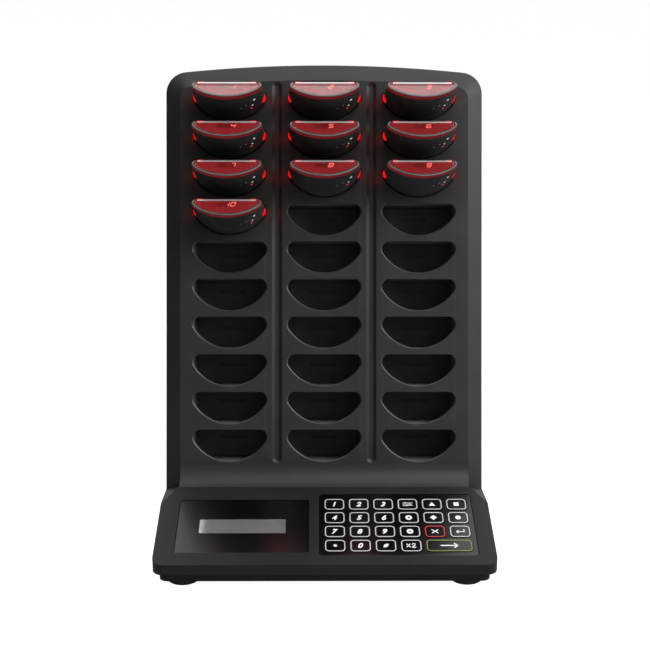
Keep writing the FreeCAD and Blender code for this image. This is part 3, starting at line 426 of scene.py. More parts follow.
def close_group(sheet: NodeSheet, results: dict[str, Socket]) -> bpy.types.NodeTree:
    """Link a group's results to its outputs and return its tree."""
    target = sheet.tree.nodes.new("NodeGroupOutput").inputs
    for name, source in results.items():
        sheet.tree.links.new(source, target[name])
    return sheet.tree


def moulded_grain() -> bpy.types.NodeTree:
    """Spark-eroded grain of a moulding: colour, roughness and height, with paler worn edges."""
    inputs = {"Colour": (0.03, 0.03, 0.03, 1.0), "Roughness": 0.5, "Grain": 2500.0, "Wear": 0.3}
    outputs = {"Colour": "Color", "Roughness": "Float", "Height": "Float"}
    sheet, given = open_group("moulded_grain", inputs, outputs)
    where = sheet.where()
    fine = sheet.noise(where, given["Grain"], 3.0)
    pits = sheet.add("TexVoronoi", {"Vector": where, "Scale": given["Grain"]})
    shade = sheet.ramp(sheet.noise(where, 28.0, 4.0), 0.3, 0.7)
    darker, paler = (sheet.scaled(given["Colour"], factor) for factor in (0.9, 1.1))
    colour = sheet.mix(shade, darker, paler)
    colour = sheet.mix(sheet.ramp(fine, 0.35, 0.65), sheet.scaled(colour, 0.86), colour)
    edge = sheet.ramp(sheet.add("NewGeometry").outputs["Pointiness"], 0.505, 0.56)
    worn = sheet.maths("MULTIPLY", edge, given["Wear"])
    rubbed = sheet.mix(1.0, colour, (0.02, 0.02, 0.02, 1.0), "ADD")
    sheen = sheet.maths("MULTIPLY_ADD", shade, 0.06, given["Roughness"])
    return close_group(sheet, {
        "Colour": sheet.mix(worn, colour, rubbed),
        "Roughness": sheet.maths("SUBTRACT", sheen, sheet.maths("MULTIPLY", worn, 0.12)),
        "Height": sheet.maths("MULTIPLY_ADD", pits.outputs["Distance"], -0.6, fine),
    })


def fine_dust() -> bpy.types.NodeTree:
    """Dust that settles on faces that look up: a mask between 0 and 1."""
    sheet, given = open_group("fine_dust", {"Amount": 0.2}, {"Mask": "Float"})
    where = sheet.where()
    facing = sheet.add("SeparateXYZ", {0: sheet.add("NewGeometry").outputs["Normal"]})
    mask = sheet.ramp(sheet.noise(where, 900.0, 6.0, Roughness=0.7), 0.56, 0.72)
    for share in (
        sheet.ramp(facing.outputs["Z"], 0.2, 1.0),
        sheet.ramp(sheet.noise(where, 14.0, 3.0), 0.35, 0.75),
        given["Amount"],
    ):
        mask = sheet.maths("MULTIPLY", mask, share)
    return close_group(sheet, {"Mask": mask})


def polish_marks() -> bpy.types.NodeTree:
    """Faint smears on a polished surface: a roughness and a height."""
    inputs = {"Roughness": 0.06, "Smears": 0.06}
    sheet, given = open_group("polish_marks", inputs, {"Roughness": "Float", "Height": "Float"})
    where = sheet.where()
    turned = {"Vector": where, "Rotation": (0.0, 0.0, 0.6), "Scale": (1.0, 3.0, 1.0)}
    smear = sheet.noise(sheet.add("Mapping", turned).outputs[0], 45.0, 5.0, Distortion=0.6)
    marks = sheet.ramp(smear, 0.45, 0.8)
    return close_group(sheet, {
        "Roughness": sheet.maths("MULTIPLY_ADD", marks, given["Smears"], given["Roughness"]),
        "Height": sheet.noise(where, 60.0, 1.0),
    })


GROUP_MAKERS = {maker.__name__: maker for maker in (moulded_grain, fine_dust, polish_marks)}


def place_group(sheet: NodeSheet, name: str, **inputs: object) -> bpy.types.NodeOutputs:
    """Place a shared node group in a material, made the first time, and return its outputs."""
    node = sheet.tree.nodes.new("ShaderNodeGroup")
    node.node_tree = bpy.data.node_groups.get(name) or GROUP_MAKERS[name]()
    for key, value in inputs.items():
        node.inputs[key].default_value = value
    return node.outputs


def opaque(colour: Colour, factor: float = 1.0) -> tuple[float, ...]:
    """A colour with full alpha, made darker or paler by a factor."""
    return (*(factor * part for part in colour), 1.0)


@dataclass(frozen=True)
class Finish:
    """A finish of the object; its material is made once."""

    name: str

    def material(self) -> bpy.types.Material:
        """The finish as a Blender material."""
        found = bpy.data.materials.get(self.name)
        if found:
            return found
        made = bpy.data.materials.new(self.name)
        sheet = NodeSheet.blank(made)
        sheet.add("OutputMaterial", {"Surface": self.shader(sheet)})
        return made

    def shader(self, sheet: NodeSheet) -> Socket:
        """Add the finish's nodes and return its shader."""
        raise NotImplementedError


@dataclass(frozen=True)
class Moulded(Finish):
    """Textured moulded plastic or rubber; where shade is above 0, painted shade darkens its colour
    in corners and next to other parts.
    """

    colour: Colour
    roughness: float = 0.5
    grain: float = 2500.0
    wear: float = 0.3
    dust: float = 0.15
    depth: float = 0.00003
    specular: float = 0.3
    shade: float = 0.0
    painted_shade_reach: float = 0.034

    def shader(self, sheet: NodeSheet) -> Socket:
        """Grain, dust and painted shade over a plain base."""
        grain = place_group(
            sheet, "moulded_grain", Colour=opaque(self.colour), Roughness=self.roughness,
            Grain=self.grain, Wear=self.wear,
        )
        dust = place_group(sheet, "fine_dust", Amount=self.dust)["Mask"]
        colour = sheet.mix(dust, grain["Colour"], (0.22, 0.21, 0.2, 1.0))
        # Painted shade: ambient occlusion darkens the base colour in corners, creases and round
        # nearby parts such as the pagers.
        if self.shade:
            reach = {"Distance": self.painted_shade_reach}
            open_sky = sheet.add("AmbientOcclusion", reach, samples=6).outputs["AO"]
            share = sheet.maths("POWER", open_sky, self.shade)
            colour = sheet.mix(share, (0.001, 0.001, 0.001, 1.0), colour)
        normal = sheet.bump(grain["Height"], self.depth, 0.6)
        return sheet.principled(
            Base_Color=colour, Roughness=grain["Roughness"], Specular_IOR_Level=self.specular,
            Normal=normal,
        )


@dataclass(frozen=True)
class Polished(Finish):
    """Glossy plastic, print or solder mask with faint smears."""

    colour: Colour
    roughness: float = 0.05
    smears: float = 0.05
    coat: float = 0.0
    metallic: float = 0.0
    dust: float = 0.1
    specular: float = 0.5

    def shader(self, sheet: NodeSheet) -> Socket:
        """Smears and dust over a polished base."""
        marks = place_group(sheet, "polish_marks", Roughness=self.roughness, Smears=self.smears)
        dust = place_group(sheet, "fine_dust", Amount=self.dust)["Mask"]
        return sheet.principled(
            Base_Color=sheet.mix(dust, opaque(self.colour), (0.25, 0.24, 0.23, 1.0)),
            Roughness=marks["Roughness"], Specular_IOR_Level=self.specular,
            Metallic=self.metallic, Coat_Weight=self.coat, Coat_Roughness=0.03,
            Normal=sheet.bump(marks["Height"], 0.00002, 0.15),
        )


@dataclass(frozen=True)
class Brushed(Finish):
    """Brushed or plated metal."""

    colour: Colour
    roughness: float = 0.3
    lines: float = 2200.0

    def shader(self, sheet: NodeSheet) -> Socket:
        """Fine drawn lines along one axis."""
        drawn = sheet.add("Mapping", {"Vector": sheet.where(), "Scale": (0.04, 1.0, 1.0)})
        shade = sheet.ramp(sheet.noise(drawn.outputs[0], self.lines, 2.0), 0.3, 0.7)
        return sheet.principled(
            Base_Color=sheet.mix(shade, opaque(self.colour, 0.8), opaque(self.colour)),
            Metallic=1.0, Roughness=sheet.maths("MULTIPLY_ADD", shade, 0.12, self.roughness),
        )


@dataclass(frozen=True)
class Clear(Finish):
    """Clear or tinted acrylic with faint smears."""

    colour: Colour
    roughness: float = 0.02
    ior: float = 1.49

    def shader(self, sheet: NodeSheet) -> Socket:
        """A plain transmitting shader with faint smears."""
        marks = place_group(sheet, "polish_marks", Roughness=self.roughness, Smears=0.03)
        return sheet.principled(
            Base_Color=opaque(self.colour), Roughness=marks["Roughness"],
            Transmission_Weight=1.0, IOR=self.ior,
        )


@dataclass(frozen=True)
class Lit(Finish):
    """A surface lit from inside, from core in its middle to colour at its rim.

    Shown is its strength for the camera, and cast its strength for all other rays.
    """

    colour: Colour
    core: Colour
    shown: float = 1.0
    cast: float = 1.0
    reach: Point = (0.02, 0.01)

    def shader(self, sheet: NodeSheet) -> Socket:
        """Emission whose colour runs from core to colour with the distance from the middle."""
        where = sheet.add("SeparateXYZ", {0: sheet.where()}).outputs
        parts = [
            sheet.maths("POWER", sheet.maths("DIVIDE", where[axis], reach), 2.0)
            for axis, reach in zip("XY", self.reach)
        ]
        distance = sheet.maths("SQRT", sheet.maths("ADD", *parts))
        streak = sheet.add("TexNoise", {"Scale": 220.0, "Detail": 2.0}).outputs["Fac"]
        distance = sheet.ramp(sheet.maths("MULTIPLY_ADD", streak, 0.25, distance), 0.35, 1.15)
        seen = sheet.add("LightPath").outputs["Is Camera Ray"]
        return sheet.principled(
            Base_Color=(0.02, 0.001, 0.001, 1.0), Roughness=0.3, Specular_IOR_Level=0.1,
            Emission_Color=sheet.mix(distance, opaque(self.core), opaque(self.colour)),
            Emission_Strength=sheet.maths("MULTIPLY_ADD", seen, self.shown - self.cast, self.cast),
        )


@dataclass(frozen=True)
class Display(Finish):
    """A resting character display: paler towards its left end, with a faint grid of cells."""

    colour: Colour
    pale: Colour
    left: float = -0.0937
    fade: float = 0.006
    cell: Point = (0.0039, 0.0072)
    gap: float = 0.1
    grid: float = 0.16

    def shader(self, sheet: NodeSheet) -> Socket:
        """The gradient and the grid under a satin surface."""
        where = sheet.add("SeparateXYZ", {0: sheet.where()}).outputs
        lines = []
        for axis, pitch in zip("XY", self.cell):
            share = sheet.maths("FRACT", sheet.maths("DIVIDE", where[axis], pitch))
            lines.append(sheet.maths("LESS_THAN", share, self.gap))
        grid = sheet.maths("MULTIPLY", sheet.maths("MAXIMUM", *lines), self.grid)
        colour = sheet.mix(grid, opaque(self.colour), opaque(self.colour, 0.6))
        along = sheet.ramp(where["X"], self.left, self.left + self.fade)
        return sheet.principled(
            Base_Color=sheet.mix(along, opaque(self.pale), colour), Roughness=0.6,
            Specular_IOR_Level=0.1,
        )


class Finishes:
    """The finishes of the object, by what they cover."""

    # Housing and deck carry painted shade (shade above 0): their colour is darker in corners and
    # round the pagers.
    HOUSING = Moulded("housing_grain", (0.027, 0.027, 0.0275), 0.44, wear=0.35, shade=1.6)
    # Slot chamfers: glossier than the housing and without its painted shade; their paler colour is
    # a painted highlight along the slot edges.
    EDGE = Moulded("slot_edge_satin_painted_highlight", (0.034, 0.034, 0.0345), 0.36, wear=0.4, specular=0.5)
    DECK = Moulded(
        "deck_grain", (0.0145, 0.0145, 0.0148), 0.4, wear=0.35, specular=0.2, shade=1.2
    )
    COVER = Moulded("lower_cover_satin", (0.008, 0.008, 0.0082), 0.5, dust=0.05, specular=0.2)
    RACK = Moulded("rack_matte", (0.14, 0.14, 0.14), 0.7, dust=0.02, specular=0.1)
    FEET = Moulded("feet_rubber", (0.012, 0.012, 0.012), 0.75, grain=1600.0, depth=0.00006)
    INLET = Moulded("inlet_black", (0.01, 0.01, 0.01), 0.4)
    SWITCH = Moulded("switch_black", (0.012, 0.012, 0.012), 0.45)
    MASK = Moulded("board_black", (0.12, 0.12, 0.12), 0.6, dust=0.02, specular=0.1)
    BOARD = Polished("board_mask", (0.012, 0.09, 0.035), 0.25, coat=0.3)
    SCREW = Brushed("screw_zinc", (0.62, 0.62, 0.6))
    SHIELD = Brushed("shield_tin", (0.7, 0.7, 0.68), 0.22)
    GLOSS = Polished("deck_gloss", (0.0006, 0.0006, 0.0007), 0.19, smears=0.015, dust=0.004)
    KEY = Polished("key_gloss", (0.0022, 0.0022, 0.0025), 0.14, smears=0.03, dust=0.01)
    PRINT = Polished("key_print", (0.62, 0.62, 0.62), 0.35)
    LEGEND = Polished("key_legend", (0.9, 0.9, 0.9), 0.35)
    RED_PRINT = Polished("key_print_red", (0.62, 0.03, 0.035), 0.35)
    GREEN_PRINT = Polished("key_print_green", (0.2, 0.27, 0.06), 0.35)
    DISPLAY_GLASS = Clear("display_glass", (0.97, 0.97, 0.98), 0.19)
    DISPLAY = Display("display_grey", (0.138, 0.132, 0.128), (0.5, 0.5, 0.5))
    CASE = Polished(
        "pager_gloss", (0.04, 0.04, 0.0402), 0.24, smears=0.04, dust=0.02, specular=0.35
    )
    # A pale, half-metal strip: a painted highlight along the pager lens's upper edge.
    HIGHLIGHT_STRIP = Polished("pager_strip", (0.6, 0.6, 0.61), 0.26, metallic=0.55)
    RIM = Polished("pager_rim", (0.05, 0.047, 0.047), 0.2, smears=0.03, coat=0.4, dust=0.02)
    LENS = Clear("pager_lens", (0.95, 0.8, 0.8), 0.03, 1.44)
    WALL = Lit("pager_wall", (0.13, 0.008, 0.01), (0.13, 0.008, 0.01), cast=0.5)
    GLOW = Lit("pager_glow", (0.22, 0.016, 0.019), (0.2, 0.0115, 0.013), cast=1.2)
    FLANK = Lit("pager_flank", (0.7, 0.009, 0.009), (0.7, 0.009, 0.009), cast=7.0)
    DIGIT = Lit("pager_digit", (1.0, 0.2, 0.16), (1.0, 0.2, 0.16), shown=1.7, cast=1.7)
    # Flank dots: glowing white and red spots, painted highlights and a painted red reflection of
    # the display light on the glossy case.
    DOT = Lit("pager_dot_painted_highlight", (0.8, 0.8, 0.8), (0.8, 0.8, 0.8))
    RED_REFLECTION_DOT = Lit("pager_red_dot_painted_reflection", (1.0, 0.02, 0.015), (1.0, 0.02, 0.015))
    GHOST = Polished("pager_ghost", (0.035, 0.004, 0.005), 0.3)


# ---------------------------------------------------------------- pieces


def even_normals(piece: bpy.types.Object) -> None:
    """Let large faces rule the shading next to their softened edges."""
    piece.modifiers.new("even_normals", "WEIGHTED_NORMAL").keep_sharp = True


def add_object(name: str, data: bpy.types.ID) -> bpy.types.Object:
    """Make an object and link it to the scene."""
    made = bpy.data.objects.new(name, data)
    bpy.context.scene.collection.objects.link(made)
    return made


def add_piece(
    name: str,
    shape: Skin | bpy.types.Mesh,
    finishes: Sequence[Finish],
    body: str,
    slot: str,
    place: Matrix,
    replaces: Sequence[str] = (),
) -> None:
    """Put a mesh into the scene as a piece of the object.

    Args:
        name: The piece's name.
        shape: Its mesh, in metres about its own origin, or the skin to make it from.
        finishes: The finish of each material number of the mesh.
        body: The CAD body that it rides on.
        slot: The record's material slot; not used.
        place: Where it stands in the frame of the CAD model.
        replaces: CAD nodes that it stands for.
    """
    mesh = shape.mesh(name) if isinstance(shape, Skin) else shape
    piece = add_object(name, mesh)
    if not mesh.materials:
        for finish in finishes:
            mesh.materials.append(finish.material())
    piece.matrix_world = place
    even_normals(piece)
    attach(piece, body)
    if replaces:
        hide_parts(*replaces)
    LOG.info("piece %s rides on %s", name, body)


@dataclass
class CadPart:
    """A CAD node that stays: it gets a finish and softened edges."""

    node: str
    finish: Finish
    edge: float = 0.4
    angle: float = 25.0
    steps: int = 2
    weld_distance: float = 1e-6
    flat_angle: float = 0.4

    def dress(self) -> None:
        """Give the node its finish, and soften its edges with modifiers."""
        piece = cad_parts[self.node]
        piece.data.materials.clear()
        piece.data.materials.append(self.finish.material())
        piece.modifiers.new("weld", "WELD").merge_threshold = self.weld_distance
        flat = piece.modifiers.new("flat_faces", "DECIMATE")
        flat.decimate_type = "DISSOLVE"
        flat.angle_limit = math.radians(self.flat_angle)
        if self.edge:
            soft = piece.modifiers.new("soft_edges", "BEVEL")
            soft.width = self.edge * MM
            soft.segments = self.steps
            soft.limit_method = "ANGLE"
            soft.angle_limit = math.radians(self.angle)
            soft.harden_normals = False
        even_normals(piece)
        LOG.info("CAD node %s wears %s", self.node, self.finish.name)


@dataclass
class Tower:
    """Front moulding of the tower: slot panel, grooves, chamfered rim and hollow foot.

    Groove holds its lower and upper end, the width of its mouth and that of its bed.
    """

    half: float = 125.0
    crown: float = 325.8
    shoulder: float = 17.0
    rim_across: float = 11.8
    rim_over: float = 13.5
    rim_fall: float = 8.0
    inner_shoulder: float = 9.5
    bend: float = 0.025
    bend_steps: int = 4
    outer_bend: float = 0.09
    outer_steps: int = 5
    edge: float = 1.1
    rear_edge: float = 0.44
    skin: float = 3.0
    wall: float = 2.5
    depth: float = 20.0
    room_step: float = 10.0
    rim_step: float = 1.0
    seam_height: float = 33.0
    lean: float = math.radians(18.0)
    deck_slope: float = math.radians(15.0)
    deck_skin: float = 3.0
    foot_radius: float = 20.0
    foot_steps: int = 14
    slot: HalfMoon = field(default_factory=HalfMoon)
    slot_edge: float = 0.9
    slot_top_share: float = 0.2
    chamfer: tuple[Point, ...] = (
        (1.0, 0.0), (0.96, 0.01), (0.9, 0.05), (0.1, 0.72), (0.02, 0.82), (0.0, 0.95)
    )
    slot_rows: int = 10
    slot_columns: int = 3
    top_slot: float = 304.1
    slot_pitch: float = 29.6
    column_pitch: float = 74.1007
    groove: Corners = (11.7, 310.7, 7.4, 3.0)
    groove_depth: float = 1.8
    groove_edge: float = 0.3
    groove_lip: tuple[Point, ...] = ((-1.0, 0.0), (-0.35, -0.2), (0.3, -0.75))
    groove_toe: tuple[Point, ...] = ((-0.25, 0.1), (0.4, 0.0))
    groove_toe_start: float = 0.8

    def __post_init__(self) -> None:
        """Work out where the hollow foot starts and ends."""
        self.turn = self.lean + self.deck_slope
        self.foot_start = self.foot_radius * math.tan(math.pi / 4 - self.turn / 2)
        self.foot_tip = self.foot_start * Vector((-math.sin(self.turn), math.cos(self.turn)))
        self.foot_under = -self.deck_skin / math.cos(self.turn)
        self.levels = (self.foot_under, self.foot_start)

    def seam(self, out: float) -> float:
        """Distance up the panel of the seam with the base, at a distance out of the panel."""
        height = Seat.PANEL.value[1]
        return (self.seam_height - height - out * math.sin(self.lean)) / math.cos(self.lean)

    def rim(self, share: float, out: float, inset: float = 0.0) -> Outline:
        """The outline between the panel's edge, share 0, and the outer side, share 1."""
        less = 1 - share
        arch = Arch(
            self.half - self.rim_across * less - inset,
            self.crown - self.rim_over * less - inset,
            self.inner_shoulder + (self.shoulder - self.inner_shoulder) * share - inset,
        )
        return arch.outline(self.seam(out), self.levels)

    def rim_profile(self) -> list[Place]:
        """Share, distance out of the panel and inset of every ring from the panel to the rear."""
        fall, profile = self.rim_fall, []
        for step in range(self.bend_steps + 1):
            t = step / self.bend_steps
            share = self.bend * (t**2 - (1 - t) ** 2)
            profile.append((share, -fall * self.bend * t**2, 0.0))
        for step in range(self.outer_steps + 1):
            t = step / self.outer_steps
            near = (1 - self.outer_bend) * (1 - t) ** 2 + 2 * t * (1 - t)
            profile.append((near + t**2, -fall * near - (fall + self.edge) * t**2, 0.0))
        soft, rear = self.rear_edge, -self.depth
        return profile + [
            (1.0, rear + soft, 0.0), (1.0, rear + soft / 3, soft / 4), (1.0, rear, soft),
            (1.0, rear, self.wall), (1.0, -self.room_step, self.wall),
        ]

    def slot_places(self) -> list[Point]:
        """Middle and upper edge of every slot, row by row from the top."""
        middle = (self.slot_columns - 1) / 2
        return [
            ((column - middle) * self.column_pitch, self.top_slot - row * self.slot_pitch)
            for row in range(self.slot_rows)
            for column in range(self.slot_columns)
        ]

    def slot_outline(self, by: float, across: float, top: float) -> Outline:
        """A slot's outline moved inwards; its upper edge moves outwards by a smaller share."""
        highest = top + max(-by, 0.0) * self.slot_top_share
        points = self.slot.outline(by, across, top)
        return [Vector((point.x, min(point.y, highest))) for point in points]

    def cut_slots(self, skin: Skin) -> tuple[list[Ring], list[Ring]]:
        """Add the walls of all slots and return their rings on the panel's front and back."""
        front, back = [], []
        profile = [(-wide * self.slot_edge, -deep * self.slot_edge) for wide, deep in self.chamfer]
        profile.append((0.0, -self.skin))
        # The chamfer strips take the paler edge finish, a painted highlight.
        edge_strips = [0, *[1] * (len(profile) - 3), 0]
        for across, top in self.slot_places():
            rings = [
                skin.ring(self.slot_outline(inset, across, top), out) for inset, out in profile
            ]
            skin.loft(rings, edge_strips)
            front.append(rings[0])
            back.append(rings[-1])
        return front, back

    def cut_grooves(self, skin: Skin) -> list[Ring]:
        """Add the sloping flanks and beds of the two grooves and return their mouths."""
        bottom, top, width, floor = self.groove
        narrow, mouths = (width - floor) / 2, []
        start = self.groove_toe_start
        toe = ((-start, start * self.groove_depth / narrow), *self.groove_toe)
        for side in (-0.5, 0.5):
            across = side * self.column_pitch
            mouth = Stadium(across, bottom, top, width)
            bed = Stadium(across, bottom + narrow, top - narrow, floor)
            rings = [
                skin.ring(shape.outline(inset * self.groove_edge), out * self.groove_edge - deep)
                for shape, deep, profile in (
                    (mouth, 0.0, self.groove_lip), (bed, self.groove_depth, toe)
                )
                for inset, out in profile
            ]
            skin.loft(rings)
            skin.caps(rings[-1])
            mouths.append(rings[0])
        return mouths

    def add_foot(self, skin: Skin, ring: Ring) -> None:
        """Add the hollow curve into the deck, its thickness and the panel's strip below it.

        Args:
            skin: The tower's mesh.
            ring: The ring round the flat panel; its three lowest points on each side are the
                seam, the foot's lower side and its start.
        """
        right, left = ring[:3], ring[:-4:-1]
        half = skin.points[right[0]].x
        centre = Vector((self.foot_start, self.foot_radius))
        sweep = math.pi / 2 - self.turn
        line = []
        for step in range(1, self.foot_steps + 1):
            turn = sweep * step / self.foot_steps
            line.append(centre - self.foot_radius * Vector((math.sin(turn), math.cos(turn))))
        inwards = Vector((-math.cos(self.turn), -math.sin(self.turn)))
        line.append(self.foot_tip + inwards * self.deck_skin)
        rows = [(left[2], right[2])]
        rows += [tuple(skin.trace(((-half, *point), (half, *point)))) for point in line]
        rows += [(left[1], right[1]), (left[0], right[0])]
        for (a, b), (c, d) in zip(rows, rows[1:]):
            skin.face((a, b, d, c))
        for side in (0, 1):
            skin.face(row[side] for row in rows[:-1])

    def build(self) -> None:
        """Make the moulding and put it in the place of its CAD node."""
        skin = Skin()
        rings = [
            skin.ring(self.rim(share, out, inset), out) for share, out, inset in self.rim_profile()
        ]
        inner = Arch(
            self.half - self.rim_across - self.rim_step,
            self.crown - self.rim_over - self.rim_step,
            self.inner_shoulder - self.rim_step,
        )
        rings.append(skin.ring(inner.outline(self.seam(-self.skin), self.levels), -self.skin))
        skin.loft(rings, closed=False)
        skin.face([ring[0] for ring in rings] + [ring[-1] for ring in reversed(rings)])
        front, back = self.cut_slots(skin)
        front += self.cut_grooves(skin)
        skin.fill([rings[0][2:-2], *front])
        skin.fill([rings[-1], *back])
        self.add_foot(skin, rings[0])
        mesh = skin.mesh("tower_panel")
        mesh.transform(Seat.PANEL.place())
        add_piece(
            "tower_panel", mesh, [Finishes.HOUSING, Finishes.EDGE], "housing", "housing",
            Matrix(), ["tower_front"],
        )


# ---------------------------------------------------------------- keys


@dataclass(frozen=True)
class Mark:
    """A symbol about its key's centre.

    Chains hold the width of their bars and the points that these join. Plates hold an outline,
    and a hole's outline after it.
    """

    chains: tuple[tuple[float, Sequence[Sequence[float]]], ...] = ()
    plates: tuple[tuple[Outline, ...], ...] = ()


def spoke(reach: float, turn: float) -> tuple[Vector, Vector]:
    """The ends of a bar through the centre."""
    tip = Vector((math.cos(turn), math.sin(turn))) * reach
    return -tip, tip


class Symbol(Enum):
    """The symbols that are printed on keys."""

    STAR = Mark(tuple((0.7, spoke(1.15, turn)) for turn in (0.0, math.pi / 3, -math.pi / 3)))
    DOUBLE = Mark((
        (0.75, ((-3.3, 1.5), (-0.9, -1.5))),
        (0.75, ((-3.3, -1.5), (-0.9, 1.5))),
        (0.8, ((0.7, 1.2), (1.3, 1.9), (2.4, 1.9), (2.9, 1.3), (2.7, 0.5), (0.5, -1.9),
               (2.9, -1.9))),
    ))
    RING = Mark(plates=((circle((0, 0), 2.5, 32), circle((0, 0), 0.85, 16)),))
    SLIDERS = Mark(tuple(
        bar
        for rise, knob in ((1.5, -1.6), (0.0, 1.4), (-1.5, -0.4))
        for bar in (
            (0.45, ((-3.6, rise), (3.6, rise))), (1.15, ((knob - 0.2, rise), (knob + 0.2, rise)))
        )
    ))
    TRIANGLE = Mark(plates=(([Vector((-2.4, -1.8)), Vector((2.4, -1.8)), Vector((0.0, 2.3))],),))
    SQUARE = Mark(plates=((RoundBox(3.9, 3.9, 0.3, 2).outline(),),))
    DIAMOND = Mark(plates=((circle((0, 0), 2.6, 4),),))
    DOT = Mark(plates=((circle((0, 0), 2.1, 32),),))
    CROSS = Mark(((0.8, ((-2.1, 1.7), (2.1, -1.7))), (0.8, ((-2.1, -1.7), (2.1, 1.7)))))
    RETURN = Mark((
        (0.7, ((3.0, 1.7), (3.0, -0.5), (-2.6, -0.5))),
        (0.7, ((-2.8, -0.5), (-1.4, -1.8))),
        (0.7, ((-2.8, -0.5), (-1.4, 0.8))),
    ))
    ARROW = Mark((
        (1.0, ((-6.0, 0.0), (5.6, 0.0))),
        (1.0, ((6.2, 0.0), (3.8, -2.0))),
        (1.0, ((6.2, 0.0), (3.8, 2.0))),
    ))


@dataclass
class MarkMaker:
    """Makes printed marks as thin raised plates."""

    level: float
    thick: float = 0.06
    height: float = 4.9
    digit_scale: float = 1.34
    hash_scale: float = 0.95
    shear: float = 0.28
    boldness: float = 0.00025
    curve_steps: int = 6

    def numeral(self, text: str, name: str) -> bpy.types.Mesh:
        """A slanted bold numeral from the built-in face."""
        curve = bpy.data.curves.new(name, "FONT")
        curve.body = text
        curve.size = self.height * (self.hash_scale if text == "#" else self.digit_scale) * MM
        curve.align_x, curve.align_y = "CENTER", "CENTER"
        curve.shear, curve.offset = self.shear, self.boldness
        curve.extrude = self.thick / 2 * MM
        curve.resolution_u = self.curve_steps
        carrier = bpy.data.objects.new(name, curve)
        mesh = bpy.data.meshes.new_from_object(carrier)
        bpy.data.objects.remove(carrier)
        bpy.data.curves.remove(curve)
        ends = [[vertex.co[axis] for vertex in mesh.vertices] for axis in (0, 1)]
        middle = [-(min(values) + max(values)) / 2 for values in ends]
        mesh.transform(Matrix.Translation((*middle, self.level * MM)))
        mesh.materials.clear()
        return mesh

    def bar(
        self, skin: Skin, start: Sequence[float], end: Sequence[float], width: float
    ) -> None:
        """Add a straight bar with half-round ends."""
        first, last = Vector(start), Vector(end)
        turn = math.atan2(last.y - first.y, last.x - first.x)
        outline: Outline = []
        for centre, back in ((last, -math.pi / 2), (first, math.pi / 2)):
            outline += arc(
                centre, width / 2, turn + back, turn + back + math.pi, self.curve_steps
            )
        self.slab(skin, outline)

    def slab(self, skin: Skin, *outlines: Outline) -> None:
        """Add a thin plate of any outline; outlines after the first are holes."""
        top, bottom = self.level + self.thick, self.level - self.thick
        sides: list[list[Ring]] = [[], []]
        for outline in outlines:
            rings = skin.ring(outline, top), skin.ring(outline, bottom)
            skin.bridge(*rings)
            for side, ring in zip(sides, rings):
                side.append(ring)
        for side in sides:
            skin.fill(side)

    def mesh(self, legend: Symbol | str, name: str) -> bpy.types.Mesh:
        """The mesh of a symbol or a numeral about the key's centre."""
        if isinstance(legend, str):
            return self.numeral(legend, name)
        skin = Skin()
        for width, points in legend.value.chains:
            for start, end in zip(points, points[1:]):
                self.bar(skin, start, end, width)
        for outlines in legend.value.plates:
            self.slab(skin, *outlines)
        return skin.mesh(name)


@dataclass(frozen=True)
class Key:
    """One key: its name, centre, legend, print colour and width."""

    name: str
    across: float
    up: float
    legend: Symbol | str
    outline_finish: Finish = Finishes.PRINT
    stretch: float = 0.0
    width: float = 15.0
    height: float = 12.1
    corner: float = 3.0

    def outline(self, inset: float, across: float = 0.0, up: float = 0.0) -> Outline:
        """The cap's outline, moved inwards and placed at a centre."""
        shape = RoundBox(self.width + self.stretch, self.height, self.corner)
        return shape.outline(inset, across, up)

    def mouth(self, gap: float, inset: float) -> Outline:
        """The bezel's opening round the key, a gap wider than the cap, moved inwards."""
        return self.outline(inset - gap, self.across, self.up)


